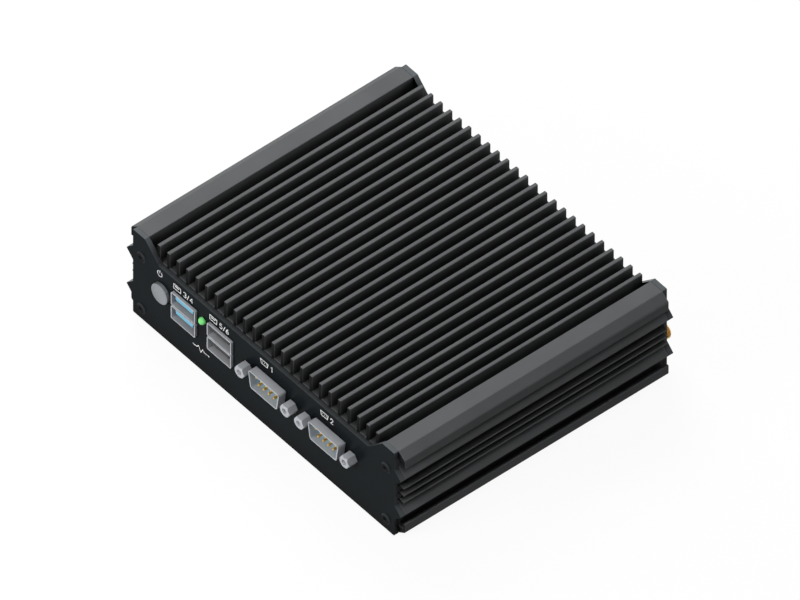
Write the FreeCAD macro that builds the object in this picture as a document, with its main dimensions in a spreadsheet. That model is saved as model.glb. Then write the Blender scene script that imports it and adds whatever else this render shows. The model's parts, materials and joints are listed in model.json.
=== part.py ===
# Fanless industrial computer: a finned aluminium extrusion closed by a front plate, a rear plate and a
# bottom cover, with the board, its connectors, its cooling path and its plug-in cards inside.
# Frame: +Z up, X across the front, +Y from the front to the back. The origin lies under the middle of
# the machine, on the plane its feet stand on. Lengths are millimetres.
import FreeCAD, Part
import math
import os
import Sketcher

V = FreeCAD.Vector

# Every driving size, with what it measures.
SIZES = {
    # plates
    "plate_width": (144.0, "front and rear plate, without their side teeth"),
    "plate_thickness": (2.0, "front and rear plate"),
    "shoulder_width": (6.6, "flat top of each plate corner"),
    "plate_lap": (0.2, "plate's edge below the fins, under the top of the deck"),
    "shoulder_radius": (1.5, "inner corner at the foot of the shoulder's slope"),
    "corner_radius": (0.4, "outer corners of the plates"),
    # side teeth, shared by the plates and the extrusion
    "tooth_reach": (3.6, "tooth tip beyond the side wall"),
    "tooth_rise": (9.1, "tooth tips above and below mid-height"),
    "tip_radius": (0.35, "rounding of a tooth's tip"),
    # extrusion
    "housing_length": (122.1, "extrusion"),
    "housing_inset": (0.4, "extrusion's underside above the plates' lower edge"),
    "wall_thickness": (2.5, "side wall of the extrusion"),
    "base_thickness": (4.0, "deck under the fins"),
    "base_drop": (7.5, "deck's top below the shoulders"),
    "rim_width": (3.75, "extrusion's lower rim beside the bottom cover"),
    "hook_reach": (3.45, "hook's face beyond the side wall"),
    "hook_slope": (2.7, "fall of the hook's sloping face"),
    "hook_lip": (4.2, "height of the hook's upright face"),
    "hook_thickness": (0.9, "hook's lip"),
    "hook_crown": (1.4, "metal above the groove behind the hook"),
    "hook_radius": (1.0, "rounding between the hook's faces"),
    "rib_reach": (2.8, "side rib beyond the wall"),
    "rib_root": (1.3, "side rib at the wall"),
    "rib_tip": (0.7, "side rib at its tip"),
    "rib_pitch": (3.5, "between side ribs"),
    # fins
    "fin_count": (24, "cooling fins"),
    "fin_thickness": (1.55, "cooling fin"),
    "fin_radius": (0.35, "rounding of a fin's tip"),
    "fin_shortfall": (0.2, "fin tips below the shoulders"),
    # screw channels and ledges of the extrusion
    "channel_inset": (4.6, "corner screws in from the plate's side"),
    "channel_low": (5.0, "lower corner screws above the plate's lower edge"),
    "channel_high": (10.8, "upper corner screws below the shoulders"),
    "channel_wall": (1.3, "metal around a screw channel"),
    "channel_slot": (1.3, "slot along a screw channel"),
    "ledge_width": (6.6, "ledge that the bottom cover screws to"),
    "ledge_thickness": (3.0, "ledge that the bottom cover screws to"),
    # screws
    "screw_radius": (1.5, "thread of the case screws"),
    "tap_radius": (1.25, "tapped hole of the case screws"),
    "screw_length": (8.0, "thread of the corner screws"),
    "head_radius": (2.4, "head of the corner screws"),
    "head_height": (0.6, "head of the corner screws"),
    "head_taper": (0.5, "rounding of a corner screw's head"),
    "pan_height": (1.35, "head of the screws inside"),
    "hole_clearance": (0.15, "around a screw in a plain hole"),
    "socket_radius": (1.0, "drive socket of a screw"),
    "socket_depth": (0.6, "drive socket of a screw"),
    # bottom cover
    "cover_thickness": (1.5, "bottom cover"),
    "cover_gap": (0.2, "around the bottom cover"),
    "cover_screw_inset": (4.2, "cover screws in from the cover's long edges"),
    "cover_screw_margin": (10.0, "first cover screw from the cover's ends"),
    "cover_screw_rows": (3, "cover screws along each side"),
    "cover_screw_length": (3.6, "cover screw, head and thread"),
    "countersink_radius": (2.6, "head of a countersunk screw"),
    "countersink_depth": (1.1, "head of a countersunk screw"),
    # feet and bracket nuts
    "foot_height": (2.4, "rubber foot"),
    "foot_radius": (5.0, "rubber foot"),
    "foot_taper": (0.8, "rubber foot's lower rim inside its upper one"),
    "foot_inset_x": (14.0, "foot centre in from the plate's side"),
    "foot_inset_y": (14.0, "foot centre in from the extrusion's end"),
    "bracket_pitch": (75.0, "square pattern of bracket threads"),
    "bracket_radius": (1.65, "bracket thread's wall"),
    "nut_radius": (3.5, "press nut's collar"),
    "nut_shank": (2.6, "press nut in the cover"),
    "nut_height": (2.4, "press nut above the cover"),
    # board
    "board_side_gap": (3.5, "circuit board in from the extrusion's walls"),
    "board_margin": (0.6, "circuit board in from the plates"),
    "board_thickness": (1.6, "circuit board"),
    "board_notch": (9.5, "cut-out at each rear corner"),
    "standoff_height": (10.0, "hexagonal standoff"),
    "standoff_flats": (5.5, "hexagonal standoff"),
    "standoff_bore": (5.0, "threaded bore of a standoff"),
    "standoff_gap": (3.9, "standoff centre in from the ledge"),
    "standoff_inset": (24.0, "standoff centre in from the board's front and back"),
    "board_screw_grip": (4.0, "board screw's thread in its standoff"),
    "clear_height": (17.0, "between the board and the deck over it"),
    # processor and its way to the extrusion
    "chip_width": (26.0, "processor package"),
    "chip_height": (2.2, "processor package"),
    "substrate_height": (1.1, "processor's wider lower layer"),
    "die_width": (15.6, "processor's lid"),
    "chip_gap": (7.0, "processor behind the memory socket"),
    "chip_centre_x": (14.0, "processor centre"),
    "pad_thickness": (0.8, "thermal pad"),
    "block_width": (44.0, "heat spreader block"),
    "block_depth": (36.0, "heat spreader block"),
    "block_foot": (3.0, "lower step of the heat spreader block"),
    "block_screw_inset": (4.0, "block screw in from the block's edges"),
    "block_screw_grip": (3.0, "block screw's thread in the deck"),
    # power button and its switch
    "button_inset": (15.9, "button centre in from the plate's left side"),
    "button_lift": (8.65, "button centre above the board"),
    "button_radius": (4.35, "button cap"),
    "button_reach": (1.4, "button cap in front of the plate"),
    "button_chamfer": (0.4, "button cap's front edge"),
    "button_clearance": (0.3, "around the button cap"),
    "button_travel": (0.8, "button stroke"),
    "collar_lip": (0.45, "collar of the button cap beyond its hole"),
    "collar_thickness": (0.8, "collar that keeps the button cap in the plate"),
    "plunger_radius": (1.7, "switch plunger"),
    "plunger_fit": (0.05, "around the switch plunger"),
    "plunger_grip": (2.0, "switch plunger inside the switch"),
    "switch_width": (7.4, "push switch"),
    "switch_depth": (7.0, "push switch"),
    "switch_gap": (1.3, "from the button's collar to the switch"),
    # status light
    "led_lift": (12.4, "light centre above the board"),
    "led_radius": (1.5, "light's body"),
    "led_reach": (1.7, "light in front of the plate"),
    "led_length": (5.2, "light from its tip to its rim"),
    "led_clearance": (0.1, "around the light in the plate"),
    "led_rim": (0.35, "rim of the light beyond its body"),
    "led_rim_thickness": (0.9, "rim of the light"),
    "holder_width": (4.4, "light holder"),
    "holder_depth": (5.0, "light holder"),
    # double type A sockets
    "usb_button_gap": (0.9, "between the left front socket and the button's collar"),
    "usb_space": (6.55, "between the two front sockets, where the light stands"),
    "usb_video_gap": (5.35, "between the rear socket and the video socket"),
    "usb_width": (13.3, "socket shell"),
    "usb_port_height": (6.5, "one socket shell"),
    "usb_port_gap": (0.4, "between the two shells"),
    "usb_base": (1.3, "socket's plastic base on the board"),
    "usb_depth": (17.0, "socket shell"),
    "usb_reach": (0.9, "socket shell beyond the plate"),
    "usb_wall": (0.45, "socket shell"),
    "usb_mouth": (9.0, "depth of a socket's mouth"),
    "usb_corner": (0.7, "shell's outer corners"),
    "tongue_thickness": (1.7, "socket's tongue"),
    "tongue_width": (9.4, "socket's tongue"),
    "tongue_gap": (1.1, "above the socket's tongue"),
    "tongue_set_back": (0.7, "tongue behind the shell's rim"),
    "contact_width": (1.0, "socket contact"),
    "contact_thickness": (0.15, "socket contact"),
    "contact_length": (6.0, "socket contact"),
    "contact_set_back": (1.0, "socket contact behind the tongue's tip"),
    "contact_pitch": (2.4, "between socket contacts"),
    # serial connectors
    "serial_usb_gap": (5.2, "between the left connector's flange and the front socket"),
    "serial_gap": (2.0, "between the flanges of the two connectors"),
    "serial_lift": (8.3, "connector centre above the board"),
    "serial_width": (17.1, "shroud, widest side"),
    "serial_taper": (2.5, "shroud's narrow side under its widest"),
    "serial_rise": (8.3, "shroud"),
    "serial_corner": (1.1, "shroud's corners"),
    "serial_wall": (0.5, "shroud"),
    "serial_reach": (3.15, "shroud in front of the plate"),
    "flange_rim": (2.1, "connector flange above and below the shroud"),
    "flange_end": (2.9, "connector flange beyond the jackscrew's centre"),
    "flange_thickness": (0.8, "connector flange"),
    "serial_block_depth": (9.0, "connector body behind its flange"),
    "serial_core": (1.2, "insulator's face behind the plate's front face"),
    "pin_radius": (0.5, "contact pin"),
    "pin_pitch": (2.77, "between contact pins"),
    "pin_rows": (2.84, "between rows of contact pins"),
    "pin_set_back": (0.9, "pin tips behind the shroud's rim"),
    "jack_gap": (1.55, "between a jackscrew and the shroud"),
    "jack_flats": (4.8, "jackscrew's hexagon"),
    "jack_reach": (4.0, "jackscrew in front of the plate"),
    "jack_chamfer": (0.4, "jackscrew's front corners"),
    "jack_bore": (1.15, "jackscrew's threaded hole"),
    "jack_bore_depth": (3.4, "jackscrew's threaded hole"),
    "jack_stud": (1.4, "jackscrew's stud"),
    "jack_stud_length": (6.0, "jackscrew's stud"),
    # network sockets
    "lan_usb_gap": (2.4, "between the nearer network socket and the rear socket"),
    "lan_gap": (2.3, "between the two network sockets"),
    "lan_width": (15.9, "network socket shell"),
    "lan_height": (13.5, "network socket shell"),
    "lan_depth": (21.0, "network socket shell"),
    "lan_reach": (0.5, "network socket behind the rear plate"),
    "lan_wall": (0.3, "network socket shell"),
    "lan_mouth_width": (11.9, "network socket mouth"),
    "lan_mouth_height": (6.9, "network socket mouth"),
    "lan_mouth_depth": (12.5, "network socket mouth"),
    "lan_roof": (1.7, "network socket mouth below the shell's top"),
    "latch_width": (6.4, "network socket latch slot"),
    "latch_height": (1.6, "network socket latch slot"),
    "lan_contact_pitch": (1.02, "between network contacts"),
    "lan_contact_width": (0.4, "network contact"),
    "lan_contact_length": (8.3, "network contact"),
    "lan_contact_drop": (1.2, "network contact below the mouth's roof"),
    # video socket
    "video_inlet_gap": (5.9, "between the video socket and the power inlet"),
    "video_width": (15.0, "video socket shell, wide side"),
    "video_height": (5.6, "video socket shell"),
    "video_side": (3.3, "straight part of the shell's sides"),
    "video_narrow": (11.4, "video socket shell, narrow side"),
    "video_depth": (11.0, "video socket shell"),
    "video_reach": (0.6, "video socket behind the rear plate"),
    "video_wall": (0.4, "video socket shell"),
    "video_base": (0.9, "video socket above the board"),
    "video_mouth": (6.5, "video socket mouth"),
    "blade_width": (10.6, "video socket tongue"),
    "blade_thickness": (1.0, "video socket tongue"),
    # power inlet
    "inlet_inset": (25.5, "power inlet centre in from the plate's right side"),
    "inlet_gap": (0.3, "power inlet body in front of the rear plate"),
    "inlet_width": (9.2, "power inlet body"),
    "inlet_height": (11.2, "power inlet body"),
    "inlet_depth": (14.0, "power inlet body"),
    "inlet_axis": (6.6, "power inlet's bore above the board"),
    "inlet_bore": (3.1, "power inlet's bore"),
    "inlet_mouth": (10.0, "depth of the power inlet's bore"),
    "inlet_nose": (4.2, "round nose of the power inlet"),
    "inlet_reach": (0.6, "power inlet behind the rear plate"),
    "inlet_pin": (1.25, "power inlet's centre pin"),
    "inlet_pin_set_back": (1.2, "centre pin behind the inlet's mouth"),
    # antenna jacks
    "antenna_gap": (0.2, "between the antenna jack's nut and the corner screw"),
    "antenna_radius": (3.175, "antenna jack's thread"),
    "antenna_reach": (6.3, "antenna jack behind the rear plate"),
    "antenna_bore": (2.3, "antenna jack's inside"),
    "antenna_core": (2.0, "insulator's face below the jack's rim"),
    "antenna_shank": (2.8, "antenna jack in its nut and the plate"),
    "antenna_contact": (0.65, "antenna jack's socket contact"),
    "antenna_contact_depth": (4.0, "antenna jack's socket contact"),
    "antenna_nut_flats": (7.9, "antenna jack's nut"),
    "antenna_nut_height": (2.0, "antenna jack's nut"),
    "antenna_flange_flats": (7.0, "antenna jack's flange inside the plate"),
    "antenna_flange": (1.8, "antenna jack's flange inside the plate"),
    "antenna_tail_radius": (2.0, "antenna jack's cable tail"),
    "antenna_tail": (4.5, "antenna jack's cable tail"),
    # cards
    "memory_offset": (8.0, "memory module centre left of the middle"),
    "memory_gap": (2.4, "memory module behind the front sockets"),
    "memory_width": (67.6, "memory module"),
    "memory_depth": (30.0, "memory module"),
    "memory_rise": (3.6, "memory module above the board"),
    "memory_socket_depth": (6.4, "memory socket's body"),
    "socket_height": (5.2, "memory socket's body"),
    "memory_latch": (3.0, "memory socket's latch beyond the module's edge"),
    "memory_chip_pitch": (15.4, "between the memory module's chips"),
    "card_thickness": (1.2, "plug-in card"),
    "card_rise": (3.4, "storage and radio cards above the board"),
    "card_gap": (3.0, "card sockets behind the memory socket"),
    "card_block_gap": (1.1, "card sockets beside the heat spreader block"),
    "card_space": (1.5, "between the two card sockets"),
    "card_width": (22.0, "storage and radio card"),
    "storage_length": (42.0, "storage card"),
    "radio_length": (30.0, "radio card"),
    "card_socket_end": (0.7, "card socket beyond the card's edges"),
    "card_socket_depth": (6.0, "card socket"),
    "card_socket_height": (5.4, "card socket"),
    "card_grip": (3.0, "plug-in card inside its socket"),
    "card_chip": (12.0, "chip on a plug-in card"),
    "card_chip_height": (1.2, "chip on a plug-in card"),
    "card_post_radius": (2.2, "post under a card's end"),
    "card_screw_radius": (0.9, "card screw"),
    "card_screw_head": (1.9, "card screw's head"),
    "card_screw_height": (0.9, "card screw's head"),
    # coin cell
    "cell_x": (48.0, "coin cell centre"),
    "cell_y": (42.0, "coin cell centre behind the front face"),
    "cell_radius": (10.0, "coin cell"),
    "cell_thickness": (3.2, "coin cell"),
    "cell_wall": (1.6, "coin cell holder's rim"),
    "cell_floor": (1.0, "coin cell holder's floor"),
    # fits
    "window_gap": (0.25, "around a connector in its window"),
    "fit": (0.05, "between pieces that fit into each other"),
}


class Size:
    """A length worked out from the sheet: its present value, and the expression that keeps it."""

    def __init__(self, value, text):
        self.value = value
        self.text = text

    def joined(self, sign, other, value):
        return Size(value, f"({self.text} {sign} {other.text})")

    def __add__(self, other):
        other = as_size(other)
        return self.joined("+", other, self.value + other.value)

    def __sub__(self, other):
        other = as_size(other)
        return self.joined("-", other, self.value - other.value)

    def __mul__(self, other):
        other = as_size(other)
        return self.joined("*", other, self.value * other.value)

    def __truediv__(self, other):
        other = as_size(other)
        return self.joined("/", other, self.value / other.value)

    def __neg__(self):
        return self * -1

    __radd__ = __add__
    __rmul__ = __mul__

    def __rsub__(self, other):
        return as_size(other) - self


def as_size(thing):
    """The thing itself if it is a Size, otherwise a fixed number as one."""
    if isinstance(thing, Size):
        return thing
    return Size(float(thing), f"({float(thing)!r})")


class Sheet:
    """The spreadsheet of driving sizes, read as mm.name."""

    def __init__(self, doc, sizes):
        cells = doc.addObject("Spreadsheet::Sheet", "Sizes")
        for row, (name, (value, note)) in enumerate(sizes.items(), start=1):
            cells.set(f"A{row}", name)
            cells.set(f"B{row}", str(value))
            cells.setAlias(f"B{row}", name)
            cells.set(f"C{row}", note)
            setattr(self, name, Size(float(value), f"Sizes.{name}"))


doc = FreeCAD.newDocument("fanless_computer")
mm = Sheet(doc, SIZES)
doc.recompute()
pieces = []


# ---------------------------------------------------------------- binding and primitives

def bind(item, prop, size):
    """Hold a property of an object by an expression on the sheet."""
    item.setExpression(prop, as_size(size).text)


def move(item, place):
    """Hold an object's position by expressions on the sheet."""
    for letter, size in zip("xyz", place):
        bind(item, f"Placement.Base.{letter}", size)


def add(kind, name):
    """A new document object, under a name that says which piece it serves."""
    return doc.addObject(kind, name)


def box(name, low, high):
    """A block between two opposite corners."""
    item = add("Part::Box", name)
    for prop, start, end in zip(("Length", "Width", "Height"), low, high):
        bind(item, prop, as_size(end) - start)
    move(item, low)
    return item


def block(name, centre_x, width, y_range, z_range):
    """A block that is centred on X and given by its ranges along Y and Z."""
    low = (centre_x - width / 2, y_range[0], z_range[0])
    high = (centre_x + width / 2, y_range[1], z_range[1])
    return box(name, low, high)


FORWARD = FreeCAD.Rotation(V(1, 0, 0), -90)
UPWARD = FreeCAD.Rotation()
DOWNWARD = FreeCAD.Rotation(V(1, 0, 0), 180)
BACKWARD = FreeCAD.Rotation(V(1, 0, 0), 90)


def rod(name, turn, start, radius, length):
    """A cylinder from its start along the turn's direction."""
    item = add("Part::Cylinder", name)
    item.Placement.Rotation = turn
    bind(item, "Radius", radius)
    bind(item, "Height", length)
    move(item, start)
    return item


def cone(name, turn, start, radii, length):
    """A cone from its first radius to its second along the turn's direction."""
    item = add("Part::Cone", name)
    item.Placement.Rotation = turn
    bind(item, "Radius1", radii[0])
    bind(item, "Radius2", radii[1])
    bind(item, "Height", length)
    move(item, start)
    return item


def hexagon(name, turn, start, flats, length, spin=0):
    """A hexagonal bar, with the size given across its flats, spun about its own axis."""
    item = add("Part::Prism", name)
    item.Polygon = 6
    item.Placement.Rotation = turn.multiply(FreeCAD.Rotation(V(0, 0, 1), spin))
    bind(item, "Circumradius", flats / (2 * math.cos(math.radians(30))))
    bind(item, "Height", length)
    move(item, start)
    return item


def fuse(name, items):
    item = add("Part::MultiFuse", name)
    item.Shapes = items
    return item


def group(name, items):
    """Separate solids kept together as one object."""
    item = add("Part::Compound", name)
    item.Links = items
    return item


def cut(name, base, tools):
    """The base without its tools."""
    item = add("Part::Cut", name)
    item.Base = base
    item.Tool = tools[0] if len(tools) == 1 else group(f"{name}_tools", tools)
    return item


def common(name, first, second):
    item = add("Part::Common", name)
    item.Base = first
    item.Tool = second
    return item


def piece(label, item, forward=0):
    """Name a finished piece and place it: the machine is centred on the origin from front to back."""
    item.Label = label
    bind(item, "Placement.Base.y", front_face + forward)
    pieces.append(item)
    return item


# ---------------------------------------------------------------- sketches and features

def body(name):
    return add("PartDesign::Body", name)


def origin_feature(owner, role):
    """An origin plane or axis of a body, by its role."""
    return next(part for part in owner.Origin.OriginFeatures if part.Role == role)


def sketch(owner, plane, name, offset=0):
    """A sketch on an origin plane of its own body, moved along the plane's normal."""
    item = owner.newObject("Sketcher::SketchObject", name)
    item.AttachmentSupport = [(origin_feature(owner, plane), "")]
    item.MapMode = "FlatFace"
    bind(item, "AttachmentOffset.Base.z", offset)
    return item


def constrain(item, rules):
    """Add constraints, each with the size that holds it, or None."""
    first = item.ConstraintCount
    item.addConstraint([rule for rule, size in rules])
    for index, (rule, size) in enumerate(rules, start=first):
        if size is not None:
            bind(item, f"Constraints[{index}]", size)


def held(geometry, point, place):
    """Two distances from the sketch's origin to a point of its geometry."""
    along, across = (as_size(size) for size in place)
    return [
        (Sketcher.Constraint("DistanceX", -1, 1, geometry, point, along.value), along),
        (Sketcher.Constraint("DistanceY", -1, 1, geometry, point, across.value), across),
    ]


def point_of(place):
    return V(as_size(place[0]).value, as_size(place[1]).value, 0)


def outline(item, corners):
    """A closed outline of straight lines through its corners."""
    first = item.GeometryCount
    count = len(corners)
    points = [point_of(corner) for corner in corners]
    item.addGeometry([Part.LineSegment(points[i], points[(i + 1) % count]) for i in range(count)])
    rules = []
    for i, corner in enumerate(corners):
        after = first + (i + 1) % count
        rules.append((Sketcher.Constraint("Coincident", first + i, 2, after, 1), None))
        rules.extend(held(first + i, 1, corner))
    constrain(item, rules)


def circle(item, place, radius):
    """A circle in a sketch."""
    radius = as_size(radius)
    number = item.addGeometry(Part.Circle(point_of(place), V(0, 0, 1), radius.value))
    rules = held(number, 3, place)
    rules.append((Sketcher.Constraint("Radius", number, radius.value), radius))
    constrain(item, rules)


def rectangle(item, centre, width, height):
    """A rectangle in a sketch, about its centre."""
    x, y = centre
    half_width, half_height = width / 2, height / 2
    outline(item, [
        (x - half_width, y - half_height),
        (x + half_width, y - half_height),
        (x + half_width, y + half_height),
        (x - half_width, y + half_height),
    ])


def pad(owner, profile, length, name, back=True):
    """Extend a profile: towards the back of the machine, or upwards, as its plane stands."""
    feature = owner.newObject("PartDesign::Pad", name)
    feature.Profile = profile
    feature.Reversed = back
    bind(feature, "Length", length)
    doc.recompute()
    return feature


def pocket(owner, profile, name, depth=None, upward=False):
    """Cut a profile through everything behind it, or to a depth."""
    before = owner.Shape.Volume
    feature = owner.newObject("PartDesign::Pocket", name)
    feature.Profile = profile
    feature.Reversed = upward
    if depth is None:
        feature.Type = "ThroughAll"
    else:
        bind(feature, "Length", depth)
    doc.recompute()
    if owner.Shape.Volume >= before:
        raise RuntimeError(f"{name} cuts nothing")
    return feature


def edges_through(shape, places):
    """Names of the straight edges along Y that run through the given places in X and Z."""
    names = []
    for number, edge in enumerate(shape.Edges, start=1):
        start, end = edge.Vertexes[0].Point, edge.Vertexes[-1].Point
        if abs(start.x - end.x) + abs(start.z - end.z) > 1e-6:
            continue
        for place in places:
            if start.isEqual(V(place[0].value, start.y, place[1].value), 1e-4):
                names.append(f"Edge{number}")
    return names


def round_edges(owner, base, places, radius, name):
    """Round the edges along Y that run through the given places."""
    feature = owner.newObject("PartDesign::Fillet", name)
    names = edges_through(base.Shape, places)
    if len(names) != len(places):
        raise RuntimeError(f"{name}: {len(names)} edges for {len(places)} places")
    feature.Base = (base, names)
    bind(feature, "Radius", radius)
    doc.recompute()
    return feature


def rounded_bar(name, centre_x, width, y_range, z_range, radius):
    """A bar along Y, centred on X, with its long edges rounded."""
    owner = body(name)
    profile = sketch(owner, "XZ_Plane", f"{name}_profile", offset=-y_range[0])
    low, high = z_range
    rectangle(profile, (centre_x, (low + high) / 2), width, high - low)
    bar = pad(owner, profile, y_range[1] - y_range[0], f"{name}_pad")
    corners = [(centre_x + sign * width / 2, z) for sign in (-1, 1) for z in z_range]
    round_edges(owner, bar, corners, radius, f"{name}_round")
    return owner


def both_sides(places):
    """The places and their mirror images across X."""
    return places + [(-x, z) for x, z in places]


# ---------------------------------------------------------------- places that pieces share

front_reach = mm.jack_reach
rear_reach = mm.antenna_reach
case_depth = mm.plate_thickness * 2 + mm.housing_length
front_face = (front_reach - rear_reach - case_depth) / 2

# from the front to the back
plate_back = mm.plate_thickness
housing_end = plate_back + mm.housing_length
rear_face = housing_end + mm.plate_thickness
board_front = plate_back + mm.board_margin
board_back = housing_end - mm.board_margin
memory_front = mm.usb_depth - mm.usb_reach + mm.memory_gap
memory_seat = memory_front + mm.memory_depth + mm.fit - mm.card_grip
memory_back = memory_seat + mm.memory_socket_depth
chip_centre_y = memory_back + mm.chip_gap + mm.chip_width / 2

# from the ground to the shoulders
plate_bottom = mm.foot_height - mm.housing_inset
housing_bottom = mm.foot_height
cover_top = housing_bottom + mm.cover_thickness
ledge_top = cover_top + mm.ledge_thickness
board_bottom = cover_top + mm.standoff_height
board_top = board_bottom + mm.board_thickness
ceiling = board_top + mm.clear_height
deck_top = ceiling + mm.base_thickness
plate_top = deck_top + mm.base_drop
middle = (plate_bottom + plate_top) / 2
teeth = (middle - mm.tooth_rise, middle + mm.tooth_rise)
channel_heights = (plate_bottom + mm.channel_low, plate_top - mm.channel_high)
serial_z = board_top + mm.serial_lift
usb_low = board_top + mm.usb_base
usb_height = mm.usb_port_height * 2 + mm.usb_port_gap

# across the front
side = mm.plate_width / 2
inner_side = side - mm.wall_thickness
cover_edge = side - mm.rim_width
board_half = inner_side - mm.board_side_gap
channel_x = side - mm.channel_inset
button_x = mm.button_inset - side
collar_radius = mm.button_radius + mm.button_clearance + mm.collar_lip
usb_left_x = button_x + collar_radius + mm.usb_button_gap + mm.usb_width / 2
usb_right_x = usb_left_x + mm.usb_width + mm.usb_space
led_x = (usb_left_x + usb_right_x) / 2
jack_offset = mm.serial_width / 2 + mm.jack_gap + mm.jack_flats / 2
flange_half = jack_offset + mm.flange_end
serial_left_x = usb_right_x + mm.usb_width / 2 + mm.serial_usb_gap + flange_half
serial_centres = (serial_left_x, serial_left_x + flange_half * 2 + mm.serial_gap)

# across the cards and the back
card_socket_width = mm.card_width + mm.card_socket_end * 2
radio_x = mm.chip_centre_x - mm.block_width / 2 - mm.card_block_gap - card_socket_width / 2
storage_x = radio_x - card_socket_width - mm.card_space
inlet_x = side - mm.inlet_inset
video_x = inlet_x - mm.inlet_width / 2 - mm.video_inlet_gap - mm.video_width / 2
usb_rear_x = video_x - mm.video_width / 2 - mm.usb_video_gap - mm.usb_width / 2
lan_left_x = usb_rear_x - mm.usb_width / 2 - mm.lan_usb_gap - mm.lan_width / 2
lan_places = (lan_left_x, lan_left_x - mm.lan_width - mm.lan_gap)


def corner_places():
    """Where the four corner screws of each plate sit, in X and Z."""
    return [(x, z) for x in (-channel_x, channel_x) for z in channel_heights]


def tooth_corners(z):
    """A side tooth from below to above."""
    tip = side + mm.tooth_reach
    return [(side, z - mm.tooth_reach), (tip, z), (side, z + mm.tooth_reach)]


def d_corners(x, inset):
    """The D shape of a serial connector, wide side up, inset all round (or grown, if negative)."""
    wide = mm.serial_width / 2 - inset
    narrow = wide - mm.serial_taper / 2
    rise = mm.serial_rise / 2 - inset
    return [
        (x - narrow, serial_z - rise),
        (x + narrow, serial_z - rise),
        (x + wide, serial_z + rise),
        (x - wide, serial_z + rise),
    ]


# ---------------------------------------------------------------- front and rear plate

def slope_foot():
    """Where a shoulder's 45 degree slope meets the plate's edge below the fins."""
    drop = mm.base_drop + mm.plate_lap
    return side - mm.shoulder_width - drop, plate_top - drop


def plate_outline():
    """Right half of a plate from its lower corner to the foot of its slope, then mirrored."""
    foot_x, foot_z = slope_foot()
    half = [(side, plate_bottom)]
    for z in teeth:
        half.extend(tooth_corners(z))
    half.append((side, plate_top))
    half.append((side - mm.shoulder_width, plate_top))
    half.append((foot_x, foot_z))
    return half + [(-x, z) for x, z in reversed(half)]


def plate(name, openings):
    """A plate with its corner screw holes, and openings added by a function."""
    owner = body(name)
    shape = sketch(owner, "XZ_Plane", f"{name}_outline")
    outline(shape, plate_outline())
    sheet_metal = pad(owner, shape, mm.plate_thickness, f"{name}_pad")
    tips = both_sides([(side + mm.tooth_reach, z) for z in teeth])
    rounded = round_edges(owner, sheet_metal, tips, mm.tip_radius, f"{name}_tips")
    feet = both_sides([slope_foot()])
    rounded = round_edges(owner, rounded, feet, mm.shoulder_radius, f"{name}_slopes")
    corners = both_sides([
        (side, plate_bottom), (side, plate_top), (side - mm.shoulder_width, plate_top)])
    round_edges(owner, rounded, corners, mm.corner_radius, f"{name}_corners")
    holes = sketch(owner, "XZ_Plane", f"{name}_openings")
    for place in corner_places():
        circle(holes, place, mm.screw_radius + mm.hole_clearance)
    openings(holes)
    pocket(owner, holes, f"{name}_pocket")
    return owner


def usb_window(item, x):
    gap = mm.window_gap
    centre = (x, usb_low + usb_height / 2)
    rectangle(item, centre, mm.usb_width + gap * 2, usb_height + gap * 2)


def front_openings(item):
    """Windows of the front plate: button, light, two double sockets, two serial connectors."""
    gap = mm.window_gap
    circle(item, (button_x, board_top + mm.button_lift), mm.button_radius + mm.button_clearance)
    circle(item, (led_x, board_top + mm.led_lift), mm.led_radius + mm.led_clearance)
    for x in (usb_left_x, usb_right_x):
        usb_window(item, x)
    for x in serial_centres:
        outline(item, d_corners(x, -gap))
        for offset in (-jack_offset, jack_offset):
            circle(item, (x + offset, serial_z), mm.jack_stud + mm.hole_clearance)


def video_corners(width, narrow, height, straight):
    """The video socket's shape: a rectangle whose lower corners are cut off."""
    x = video_x
    top = board_top + mm.video_base + mm.video_height / 2 + height / 2
    return [
        (x - width / 2, top),
        (x - width / 2, top - straight),
        (x - narrow / 2, top - height),
        (x + narrow / 2, top - height),
        (x + width / 2, top - straight),
        (x + width / 2, top),
    ]


def antenna_places():
    """Where the antenna jacks sit, in X and Z: beside the lower corner screws, 60 degrees up."""
    distance = mm.head_radius + mm.antenna_gap + mm.antenna_nut_flats / 2
    x = channel_x - distance * math.cos(math.radians(60))
    z = channel_heights[0] + distance * math.sin(math.radians(60))
    return [(-x, z), (x, z)]


def rear_openings(item):
    """Windows of the rear plate: power inlet, video, double socket, two network sockets, two antennas."""
    gap = mm.window_gap
    circle(item, (inlet_x, board_top + mm.inlet_axis), mm.inlet_nose + gap)
    outline(item, video_corners(mm.video_width + gap * 2, mm.video_narrow + gap * 2,
                                mm.video_height + gap * 2, mm.video_side + gap))
    usb_window(item, usb_rear_x)
    for x in lan_places:
        centre = (x, board_top + mm.lan_height / 2)
        rectangle(item, centre, mm.lan_width + gap * 2, mm.lan_height + gap * 2)
    for place in antenna_places():
        circle(item, place, mm.antenna_shank + mm.hole_clearance)


def corner_screws(label, start_y, into):
    """Low-headed screws in a plate's four corners, which point forward or backward into the machine."""
    out = BACKWARD if into is FORWARD else FORWARD
    screws = []
    for number, (x, z) in enumerate(corner_places()):
        name = f"{label}_{number}"
        start = (x, start_y, z)
        radii = (mm.head_radius, mm.head_radius - mm.head_taper)
        head = cone(f"{name}_head", out, start, radii, mm.head_height)
        shank = rod(f"{name}_shank", into, start, mm.tap_radius, mm.screw_length)
        drive = hexagon(f"{name}_drive", out, start, mm.socket_radius * 2, mm.head_height)
        screws.append(cut(name, fuse(f"{name}_blank", [head, shank]), [drive]))
    return group(label, screws)


def make_plates():
    piece("front_plate", plate("front_plate", front_openings))
    piece("rear_plate", plate("rear_plate", rear_openings), forward=housing_end)
    piece("front_plate_screws", corner_screws("front_plate_screws", as_size(0), FORWARD))
    piece("rear_plate_screws", corner_screws("rear_plate_screws", rear_face, BACKWARD))


# ---------------------------------------------------------------- finned extrusion

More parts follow.
